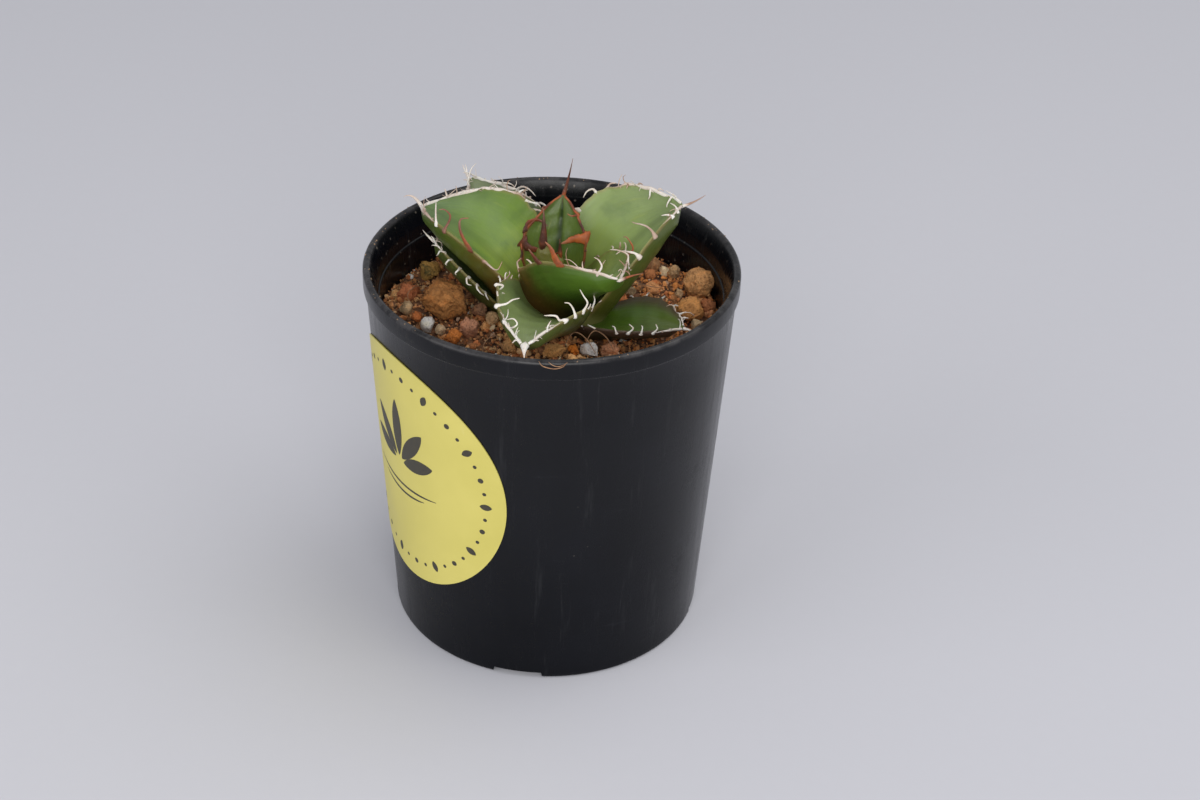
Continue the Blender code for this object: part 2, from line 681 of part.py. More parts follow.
def main():
    clear_scene()
    make_pot(make_material("pot_plastic", (0.018, 0.018, 0.020), 0.42))
    make_label(make_material("label_paper", (0.78, 0.70, 0.20), 0.6))
    substrate = make_substrate(make_material("substrate_mix", (0.30, 0.16, 0.08), 0.95))
    stem = make_stem(make_material("stem_skin", (0.35, 0.28, 0.14), 0.8))
    shades = iter(range(len(LEAVES)))

    def leaf_material(name):
        tone = 1.0 - 0.06 * next(shades)
        return make_material(name + "_skin", tuple(c * tone for c in LEAF_GREEN), 0.45)

    bud_material = make_material("bud_skin", (0.20, 0.05, 0.04), 0.5)
    pieces, inner = make_plant(stem, leaf_material, bud_material)
    grains = make_grains(grain_material)
    for cutter in inner:
        cut(substrate, cutter)
    apply_modifiers(substrate)
    for grain in grains:
        clearance = make_cutter(grain.name + "_clearance", grain.data.copy(), GAP)
        clearance.matrix_world = Matrix.LocRotScale(grain.location, grain.rotation_euler, None)
        cut(substrate, clearance)
    apply_modifiers(substrate)


main()
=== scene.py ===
import math
import random
import bmesh
import bpy
import numpy as np
from mathutils import Matrix, Vector, noise


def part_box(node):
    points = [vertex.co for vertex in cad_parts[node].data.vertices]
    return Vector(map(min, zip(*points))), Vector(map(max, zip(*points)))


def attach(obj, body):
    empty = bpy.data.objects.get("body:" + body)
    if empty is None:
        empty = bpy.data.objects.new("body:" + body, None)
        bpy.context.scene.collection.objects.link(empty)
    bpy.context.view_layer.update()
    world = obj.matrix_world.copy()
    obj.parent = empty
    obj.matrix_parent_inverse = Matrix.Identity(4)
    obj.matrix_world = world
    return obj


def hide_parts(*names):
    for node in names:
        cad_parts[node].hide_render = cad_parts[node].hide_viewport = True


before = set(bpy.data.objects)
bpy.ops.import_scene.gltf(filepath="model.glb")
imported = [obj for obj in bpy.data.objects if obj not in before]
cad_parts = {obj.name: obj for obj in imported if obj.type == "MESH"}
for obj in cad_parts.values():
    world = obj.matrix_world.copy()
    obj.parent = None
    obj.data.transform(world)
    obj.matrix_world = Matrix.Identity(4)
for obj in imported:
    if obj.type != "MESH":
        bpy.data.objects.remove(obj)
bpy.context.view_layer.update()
mm = 0.001

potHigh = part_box("pot")[1]
rimHeight = potHigh[2]
rimRadius = potHigh[0]


def mixed(a, b, t):
    return a + (b - a) * t


def smoothStep(low, high, value):
    t = np.clip((value - low) / (high - low), 0.0, 1.0)
    return t * t * (3 - 2 * t)


def polar(azimuth, radius, height):
    angle = math.radians(azimuth)
    return np.array((radius * math.cos(angle), radius * math.sin(angle), height))


def unit(v):
    return v / np.linalg.norm(v, axis=-1, keepdims=True)


def fromRim(points):
    # Points in millimetres from the centre of the rim, as metres from the origin.
    return np.asarray(points) * mm + np.array((0, 0, rimHeight))


def addPiece(name, verts, faces, material, nodes=(), marks=None, sharp=None):
    # Mesh object that rides on the one body; marks are named values per vertex.
    mesh = bpy.data.meshes.new(name)
    mesh.from_pydata([tuple(v) for v in verts], [], [tuple(f) for f in faces])
    for mark, values in (marks or {}).items():
        layer = mesh.attributes.new(mark, "FLOAT", "POINT")
        layer.data.foreach_set("value", np.asarray(values, dtype=np.float32))
    mesh.update()
    mesh.shade_smooth()
    if sharp:
        mesh.set_sharp_from_angle(angle=math.radians(sharp))
    mesh.materials.append(material)
    piece = bpy.data.objects.new(name, mesh)
    bpy.context.scene.collection.objects.link(piece)
    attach(piece, "root")
    if nodes:
        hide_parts(*nodes)
    return piece


def gridFaces(rows, columns, closed=False, start=0):
    # Quads of a grid of vertices; closed joins the last column to the first.
    faces = []
    last = columns if closed else columns - 1
    for i in range(rows - 1):
        for j in range(last):
            k = (j + 1) % columns
            a = start + i * columns
            b = a + columns
            faces.append((a + j, a + k, b + k, b + j))
    return faces


def latheFaces(rows, turns):
    # Faces between rings of vertices, where a ring of one vertex is a pole.
    faces = []
    for low, high in zip(rows, rows[1:]):
        for k in range(turns):
            n = (k + 1) % turns
            corners = (low[k % len(low)], low[n % len(low)], high[n % len(high)], high[k % len(high)])
            faces.append(tuple(dict.fromkeys(corners)))
    return faces


class Nodes:
    # Short way to build a material's node tree.

    def __init__(self, name):
        self.material = bpy.data.materials.new(name)
        self.material.use_nodes = True
        self.tree = self.material.node_tree
        self.shader = self.tree.nodes["Principled BSDF"]

    def add(self, kind, **settings):
        node = self.tree.nodes.new("ShaderNode" + kind)
        for key, value in settings.items():
            setattr(node, key, value)
        return node

    def join(self, source, target):
        self.tree.links.new(source, target)

    def mark(self, name):
        return self.add("Attribute", attribute_name=name).outputs["Fac"]

    def place(self, scale=(1, 1, 1)):
        coords = self.add("TexCoord").outputs["Object"]
        mapping = self.add("Mapping")
        mapping.inputs["Scale"].default_value = scale
        self.join(coords, mapping.inputs["Vector"])
        return mapping.outputs["Vector"]

    def noise(self, vector, scale, detail=4.0, rough=0.55, distortion=0.0):
        node = self.add("TexNoise")
        node.inputs["Scale"].default_value = scale
        node.inputs["Detail"].default_value = detail
        node.inputs["Roughness"].default_value = rough
        node.inputs["Distortion"].default_value = distortion
        self.join(vector, node.inputs["Vector"])
        return node.outputs["Fac"]

    def voronoi(self, vector, scale, feature="F1", out="Distance"):
        node = self.add("TexVoronoi", feature=feature)
        node.inputs["Scale"].default_value = scale
        self.join(vector, node.inputs["Vector"])
        return node.outputs[out]

    def math(self, operation, a, b=None, c=None):
        node = self.add("Math", operation=operation)
        for socket, value in zip(node.inputs, (a, b, c)):
            self.feed(value, socket)
        return node.outputs[0]

    def times(self, a, b):
        return self.math("MULTIPLY", a, b)

    def plus(self, a, b):
        return self.math("ADD", a, b)

    def feed(self, value, socket):
        if value is None:
            return
        if isinstance(value, (int, float)):
            socket.default_value = value
        elif isinstance(value, tuple):
            socket.default_value = (*value, 1.0) if len(socket.default_value) == 4 else value
        else:
            self.join(value, socket)

    def fade(self, value, low, high, toLow=0.0, toHigh=1.0):
        node = self.add("MapRange", interpolation_type="SMOOTHSTEP")
        for socket, item in zip(node.inputs[:5], (value, low, high, toLow, toHigh)):
            self.feed(item, socket)
        return node.outputs[0]

    def blend(self, factor, a, b, mode="MIX"):
        node = self.add("Mix", data_type="RGBA", blend_type=mode)
        self.feed(factor, node.inputs[0])
        self.feed(a, node.inputs[6])
        self.feed(b, node.inputs[7])
        return node.outputs[2]

    def ramp(self, value, stops):
        node = self.add("ValToRGB")
        ramp = node.color_ramp
        while len(ramp.elements) < len(stops):
            ramp.elements.new(0.5)
        for element, (place, colour) in zip(ramp.elements, stops):
            element.position = place
            element.color = (*colour, 1.0)
        self.feed(value, node.inputs[0])
        return node.outputs[0]

    def bump(self, height, strength, distance, after=None):
        node = self.add("Bump")
        node.inputs["Strength"].default_value = strength
        node.inputs["Distance"].default_value = distance
        self.join(height, node.inputs["Height"])
        if after is not None:
            self.join(after, node.inputs["Normal"])
        return node.outputs[0]

    def finish(self, colour, roughness, normal=None, **values):
        self.feed(colour, self.shader.inputs["Base Color"])
        self.feed(roughness, self.shader.inputs["Roughness"])
        if normal is not None:
            self.join(normal, self.shader.inputs["Normal"])
        for name, value in values.items():
            self.shader.inputs[name].default_value = value
        return self.material


cameraLook = {
    "distance": 0.4213,          # from the centre of the rim
    "elevation": 29.39,          # degrees above level
    "pitch": 3.70, "yaw": 1.36, "roll": -1.19,
    "lens": 63.59,
}


def makeCamera():
    rise = math.radians(cameraLook["elevation"])
    away = Vector((0, -math.cos(rise), math.sin(rise)))
    toCentre = -away
    right = Vector((1, 0, 0))
    up = right.cross(toCentre)
    turn = Matrix((right, up, away))
    roll = Matrix.Rotation(math.radians(cameraLook["roll"]), 3, "Z")
    pitch = Matrix.Rotation(math.radians(cameraLook["pitch"]), 3, "X")
    yaw = Matrix.Rotation(math.radians(cameraLook["yaw"]), 3, "Y")
    turn = (roll @ pitch @ yaw @ turn).transposed()
    data = bpy.data.cameras.new("camera")
    data.lens = cameraLook["lens"]
    data.sensor_width = 36.0
    data.clip_start = 0.01
    camera = bpy.data.objects.new("camera", data)
    place = away * cameraLook["distance"] + Vector((0, 0, rimHeight))
    camera.matrix_world = Matrix.LocRotScale(place, turn.to_quaternion(), None)
    bpy.context.scene.collection.objects.link(camera)
    bpy.context.scene.camera = camera


makeCamera()
print("camera placed")


pot = {
    "footRadius": 32.3 * mm, "lipHeight": 4.1 * mm, "lipProud": 0.55 * mm,
    "innerEdge": (34.8 * mm, 3.5 * mm), "ledgeDepth": 6.4 * mm,
    "ledgeRadius": 34.15 * mm, "floorTop": 3.4 * mm, "floorRadius": 31.1 * mm,
    "floorUnderside": 1.8 * mm, "footRing": 1.5 * mm, "segments": 168,
    "centreHole": 5.0 * mm,
    "sideHoles": {"count": 6, "circle": 20 * mm, "radius": 3.0 * mm, "first": 15},
    "notches": {
        "count": 4, "first": -100, "foot": 11.0 * mm, "top": 9.8 * mm, "height": 1.4 * mm, "deep": 6 * mm},
}


def wallRadius(height):
    top = rimHeight - pot["lipHeight"]
    return mixed(pot["footRadius"], rimRadius - pot["lipProud"], height / top)


def innerRadius(height):
    top = rimHeight - pot["ledgeDepth"]
    share = (height - pot["floorTop"]) / (top - pot["floorTop"])
    return mixed(pot["floorRadius"], pot["ledgeRadius"], share)


def arcPoints(centre, radius, start, end, count):
    angles = np.radians(np.linspace(start, end, count))
    return [(centre[0] + radius * math.cos(a), centre[1] + radius * math.sin(a)) for a in angles]


def potSection():
    # Half section from under the floor, out round the foot, over the lip and down inside.
    foot = pot["footRadius"]
    lipFoot = rimHeight - pot["lipHeight"]
    edgeR, edgeDepth = pot["innerEdge"]
    ledge = rimHeight - pot["ledgeDepth"]
    inner = foot - pot["footRing"]
    points = [(0.0, pot["floorUnderside"]), (inner - 0.5 * mm, pot["floorUnderside"])]
    points += [(inner - 0.1 * mm, 1.4 * mm), (inner, 0.3 * mm), (inner + 0.3 * mm, 0.0)]
    points += arcPoints((foot - 0.75 * mm, 0.85 * mm), 0.85 * mm, -80, -4, 6)
    points += [(wallRadius(h), h) for h in np.linspace(1.6 * mm, lipFoot - 0.35 * mm, 12)]
    points += [(wallRadius(lipFoot) + 0.06 * mm, lipFoot - 0.08 * mm)]
    points += [(wallRadius(lipFoot) + 0.22 * mm, lipFoot + 0.05 * mm)]
    points += arcPoints((rimRadius - 0.3 * mm, lipFoot + 0.42 * mm), 0.3 * mm, -80, 0, 5)
    points += [(rimRadius, mixed(lipFoot, rimHeight, 0.45))]
    points += arcPoints((rimRadius - 0.8 * mm, rimHeight - 0.8 * mm), 0.8 * mm, 0, 80, 8)
    points += [(rimRadius - 0.95 * mm, rimHeight)]
    points += [(rimRadius - 1.2 * mm, rimHeight - 0.08 * mm)]
    points += [(rimRadius - 1.42 * mm, rimHeight - 0.3 * mm)]
    points += [(rimRadius - 1.66 * mm, rimHeight - 0.78 * mm)]
    points += [(rimRadius - 1.95 * mm, rimHeight - 1.3 * mm)]
    points += [(edgeR + 0.1 * mm, rimHeight - edgeDepth + 0.35 * mm)]
    points += [(edgeR, rimHeight - edgeDepth), (edgeR - 0.1 * mm, rimHeight - edgeDepth - 0.2 * mm)]
    points += [(edgeR - 0.25 * mm, ledge + 0.4 * mm), (edgeR - 0.32 * mm, ledge + 0.16 * mm)]
    points += [(pot["ledgeRadius"] + 0.08 * mm, ledge + 0.04 * mm), (pot["ledgeRadius"], ledge - 0.1 * mm)]
    points += [(innerRadius(h), h) for h in np.linspace(ledge - 1 * mm, pot["floorTop"] + 1.5 * mm, 8)]
    points += [(pot["floorRadius"] - 0.5 * mm, pot["floorTop"] + 0.4 * mm)]
    points += [(pot["floorRadius"] - 1.4 * mm, pot["floorTop"]), (0.0, pot["floorTop"])]
    return points


def makePot(material):
    # Lathed wall, then drainage holes and foot notches cut as in the CAD.
    turns = pot["segments"]
    angles = np.linspace(0, math.tau, turns, endpoint=False)
    verts, rows = [], []
    for radius, height in potSection():
        ring = [(0, 0, height)] if radius == 0.0 else [
            (radius * math.cos(a), radius * math.sin(a), height) for a in angles]
        rows.append(list(range(len(verts), len(verts) + len(ring))))
        verts += ring
    faces = latheFaces(rows, turns)
    piece = addPiece("pot_shell", verts, faces, material, ["pot"], sharp=50)
    holes, notches = pot["sideHoles"], pot["notches"]
    cutters = [roundCutter(0, 0.0, pot["centreHole"])]
    for i in range(holes["count"]):
        azimuth = 360 * i / holes["count"] + holes["first"]
        cutters.append(roundCutter(azimuth, holes["circle"], holes["radius"]))
    cutters += [notchCutter(notches["first"] + 360 / notches["count"] * i) for i in range(notches["count"])]
    cutHoles(piece, cutters)


def roundCutter(azimuth, circle, radius):
    bm = bmesh.new()
    bmesh.ops.create_cone(bm, cap_ends=True, segments=40, radius1=radius, radius2=radius, depth=8 * mm)
    x, y, z = polar(azimuth, circle, pot["floorTop"])
    bmesh.ops.translate(bm, verts=bm.verts, vec=(x, y, z))
    return bm


def notchCutter(azimuth):
    notches = pot["notches"]
    bm = bmesh.new()
    bmesh.ops.create_cube(bm, size=1.0)
    for vert in bm.verts:
        width = notches["foot"] if vert.co.z < 0 else notches["top"]
        vert.co = Vector((vert.co.x * notches["deep"], vert.co.y * width, vert.co.z * 2 * notches["height"]))
    bmesh.ops.rotate(bm, verts=bm.verts, matrix=Matrix.Rotation(math.radians(azimuth), 3, "Z"))
    x, y, z = polar(azimuth, pot["footRadius"], 0.0)
    bmesh.ops.translate(bm, verts=bm.verts, vec=(x, y, z))
    return bm


def cutHoles(piece, cutters):
    # Boolean cuts, applied at once so that no helper is left in the scene.
    helpers = []
    for i, bm in enumerate(cutters):
        mesh = bpy.data.meshes.new(f"cutter_{i}")
        bm.to_mesh(mesh)
        bm.free()
        helper = bpy.data.objects.new(f"cutter_{i}", mesh)
        bpy.context.scene.collection.objects.link(helper)
        boolean = piece.modifiers.new(f"cut_{i}", "BOOLEAN")
        boolean.solver = "EXACT"
        boolean.object = helper
        helpers.append(helper)
    graph = bpy.context.evaluated_depsgraph_get()
    graph.update()
    mesh = bpy.data.meshes.new_from_object(piece.evaluated_get(graph))
    piece.modifiers.clear()
    piece.data = mesh
    mesh.shade_smooth()
    mesh.set_sharp_from_angle(angle=math.radians(35))
    for helper in helpers:
        bpy.data.objects.remove(helper, do_unlink=True)


def potMaterial():
    n = Nodes("potPlastic")
    place = n.place()
    streakPlace = n.place((1.0, 1.0, 0.06))
    broad = n.noise(place, 45, 3)
    fine = n.noise(place, 900, 5, 0.7)
    streaks = n.noise(streakPlace, 420, 4, 0.7)
    scuff = n.fade(streaks, 0.58, 0.74)
    specks = n.fade(n.voronoi(place, 420), 0.10, 0.04)
    dust = n.fade(n.noise(place, 130, 5, 0.7), 0.55, 0.8)
    height = n.add("SeparateXYZ")
    n.join(place, height.inputs[0])
    nearRim = n.fade(height.outputs["Z"], rimHeight - 7 * mm, rimHeight - 0.5 * mm)
    base = n.ramp(broad, ((0.3, (0.0018, 0.0021, 0.0034)), (0.7, (0.0036, 0.0041, 0.0064))))
    worn = n.blend(n.times(scuff, 0.22), base, (0.045, 0.046, 0.05))
    rubbed = n.fade(n.noise(n.place((0.10, 0.10, 1.0)), 900, 4, 0.75), 0.60, 0.76)
    rubbed = n.times(rubbed, n.fade(n.noise(place, 60, 3), 0.45, 0.65))
    worn = n.blend(n.times(rubbed, 0.28), worn, (0.040, 0.043, 0.052))
    specked = n.blend(n.times(specks, n.times(dust, 0.8)), worn, (0.16, 0.14, 0.12))
    dusted = n.times(n.times(nearRim, dust), 0.30)
    colour = n.blend(dusted, specked, (0.13, 0.115, 0.10))
    across = n.add("VectorMath", operation="LENGTH")
    n.join(n.place((1.0, 1.0, 0.0)), across.inputs[0])
    taper = (wallRadius(60 * mm) - wallRadius(0.0)) / (60 * mm)
    outer = n.math("MULTIPLY_ADD", height.outputs["Z"], taper, wallRadius(0.0))
    depth = n.math("SUBTRACT", outer, across.outputs["Value"])
    inside = n.fade(depth, 0.9 * mm, 1.3 * mm)
    grit = n.fade(n.voronoi(place, 560), 0.20, 0.08)
    grit = n.times(n.times(grit, inside), n.fade(broad, 0.40, 0.62, 0.1, 0.8))
    colour = n.blend(grit, colour, (0.26, 0.225, 0.19))
    # Paler grey band along the top of the rim: wear, and a painted highlight where the rim's top catches the
    # light.
    crestWearAndHighlight = n.times(n.fade(height.outputs["Z"], rimHeight - 1.0 * mm, rimHeight - 0.1 * mm),
                   n.fade(n.noise(place, 260, 4, 0.6), 0.35, 0.65, 0.15, 0.75))
    colour = n.blend(crestWearAndHighlight, colour, (0.062, 0.059, 0.062))
    rough = n.fade(streaks, 0.3, 0.75, 0.20, 0.32)
    rough = n.plus(rough, n.times(dust, 0.14))
    normal = n.bump(n.noise(n.place((0.12, 0.12, 1.0)), 240, 3), 0.06, 0.0006)
    normal = n.bump(fine, 0.10, 0.00012, normal)
    n.feed(n.fade(height.outputs["Z"], 5 * mm, 60 * mm, 0.15, 0.27), n.shader.inputs["Specular IOR Level"])
    return n.finish(colour, rough, normal)


makePot(potMaterial())
print("pot made")


label = {
    "radius": 26.8 * mm, "azimuth": -147.0, "height": 43.6 * mm,
    "lift": 0.05 * mm, "thickness": 0.22 * mm, "ink": 0.02 * mm,
    "segments": 120, "rings": 26,
    "dots": 44, "dotCircle": 22.6 * mm, "dotRadius": 0.75 * mm, "oval": (2.6 * mm, 1.5 * mm),
    "spray": ((90, 13.5), (52, 11.5), (128, 11.5), (18, 9.5), (162, 9.5)),  # degrees, millimetres long
    "sprayWidth": 3.3 * mm, "sprayRise": 1.0 * mm,
    "lines": ((-3.4, 22), (-5.2, 15)),      # height and length, millimetres
    "lineWidth": 0.55 * mm, "lineSag": -1.0 * mm,
}


def onWall(along, up, lift):
    height = label["height"] + up
    turned = label["azimuth"] + math.degrees(along / wallRadius(label["height"]))
    return polar(turned, wallRadius(height) + lift, height)


def discOnWall(outline, lift, rings, centre=(0.0, 0.0)):
    # Vertices and faces of a flat shape bent onto the wall, from its centre outwards.
    count = len(outline)
    verts = [onWall(centre[0], centre[1], lift)]
    for ring in range(1, rings + 1):
        share = ring / rings
        for x, y in outline:
            verts.append(onWall(mixed(centre[0], x, share), mixed(centre[1], y, share), lift))
    faces = [(0, 1 + (k + 1) % count, 1 + k) for k in range(count)]
    faces += gridFaces(rings, count, closed=True, start=1)
    return verts, faces


def circle(radius, count, centre=(0.0, 0.0)):
    turns = [math.tau * k / count for k in range(count)]
    return [(centre[0] + radius * math.cos(a), centre[1] + radius * math.sin(a)) for a in turns]


def petal(centre, length, width, tilt, count=28):
    # A pointed oval outline.
    points = []
    turn = math.radians(tilt)
    for k in range(count):
        a = math.tau * k / count
        x = 0.5 * length * math.cos(a)
        y = 0.5 * width * math.sin(a) * abs(math.sin(a)) ** 0.6
        points.append((centre[0] + x * math.cos(turn) - y * math.sin(turn),
                       centre[1] + x * math.sin(turn) + y * math.cos(turn)))
    return points


def bar(centre, length, width, sag, count=14):
    # A thin line that bows by sag, as a closed outline.
    upper, lower = [], []
    for k in range(count + 1):
        u = 2 * k / count - 1
        x = centre[0] + 0.5 * length * u
        y = centre[1] + sag * (1 - u * u)
        half = 0.5 * width * (1 - 0.75 * abs(u) ** 3)
        upper.append((x, y + half))
        lower.append((x, y - half))
    return upper + lower[::-1]


def labelShapes():
    # Outlines of the generic ornament, each with its centre; a thin line has none.
    shapes = []
    for k in range(label["dots"]):
        turn = math.tau * k / label["dots"]
        spot = (label["dotCircle"] * math.cos(turn), label["dotCircle"] * math.sin(turn))
        if k % 4:
            shapes.append((circle(label["dotRadius"] * (0.55 if k % 2 else 0.8), 14, spot), spot))
        else:
            shapes.append((petal(spot, *label["oval"], math.degrees(turn)), spot))
    for tilt, length in label["spray"]:
        turn = math.radians(tilt)
        reach = (1.6 + 0.5 * length) * mm
        spot = (reach * math.cos(turn), label["sprayRise"] + reach * math.sin(turn))
        shapes.append((petal(spot, length * mm, label["sprayWidth"], tilt), spot))
    for drop, length in label["lines"]:
        shapes.append((bar((0.0, drop * mm), length * mm, label["lineWidth"], label["lineSag"]), None))
    return shapes


def makeLabel(paper, ink):
    segments = label["segments"]
    surface = label["lift"] + label["thickness"]
    outline = circle(label["radius"], segments)
    top, faces = discOnWall(outline, surface, label["rings"])
    under, underFaces = discOnWall(outline, label["lift"], label["rings"])
    count = len(top)
    edge = count - segments
    faces += [tuple(count + i for i in reversed(face)) for face in underFaces]
    for k in range(segments):
        n = (k + 1) % segments
        faces.append((edge + k, count + edge + k, count + edge + n, edge + n))
    addPiece("label_disc", top + under, faces, paper, ["label"], sharp=40)

    lift = surface + label["ink"]
    verts, faces = [], []
    for outline, centre in labelShapes():
        start = len(verts)
        if centre is None:
            verts += [onWall(x, y, lift) for x, y in outline]
            half = len(outline) // 2
            for k in range(half - 1):
                faces.append((start + k, start + 2 * half - 1 - k, start + 2 * half - 2 - k, start + k + 1))
            continue
        shapeVerts, shapeFaces = discOnWall(outline, lift, 3, centre)
        verts += shapeVerts
        faces += [tuple(start + i for i in face) for face in shapeFaces]
    addPiece("label_print", verts, faces, ink, ())


def paperMaterial():
    n = Nodes("labelPaper")
    place = n.place()
    broad = n.noise(place, 60, 3)
    fibre = n.noise(place, 2600, 4, 0.7)
    scuffs = n.fade(n.noise(n.place((1, 1, 0.25)), 700, 4, 0.7), 0.62, 0.8)
    base = n.ramp(broad, ((0.3, (0.530, 0.466, 0.107)), (0.7, (0.585, 0.515, 0.132))))
    colour = n.blend(n.times(scuffs, 0.25), base, (0.64, 0.60, 0.30))
    rough = n.fade(broad, 0.3, 0.7, 0.38, 0.5)
    return n.finish(colour, rough, n.bump(fibre, 0.08, 0.00004))


def inkMaterial():
    n = Nodes("labelInk")
    patchy = n.noise(n.place(), 1800, 4, 0.7)
    colour = n.ramp(patchy, ((0.3, (0.020, 0.018, 0.014)), (0.75, (0.062, 0.054, 0.032))))
    return n.finish(colour, n.fade(patchy, 0.3, 0.7, 0.45, 0.6))


makeLabel(paperMaterial(), inkMaterial())
print("label made")


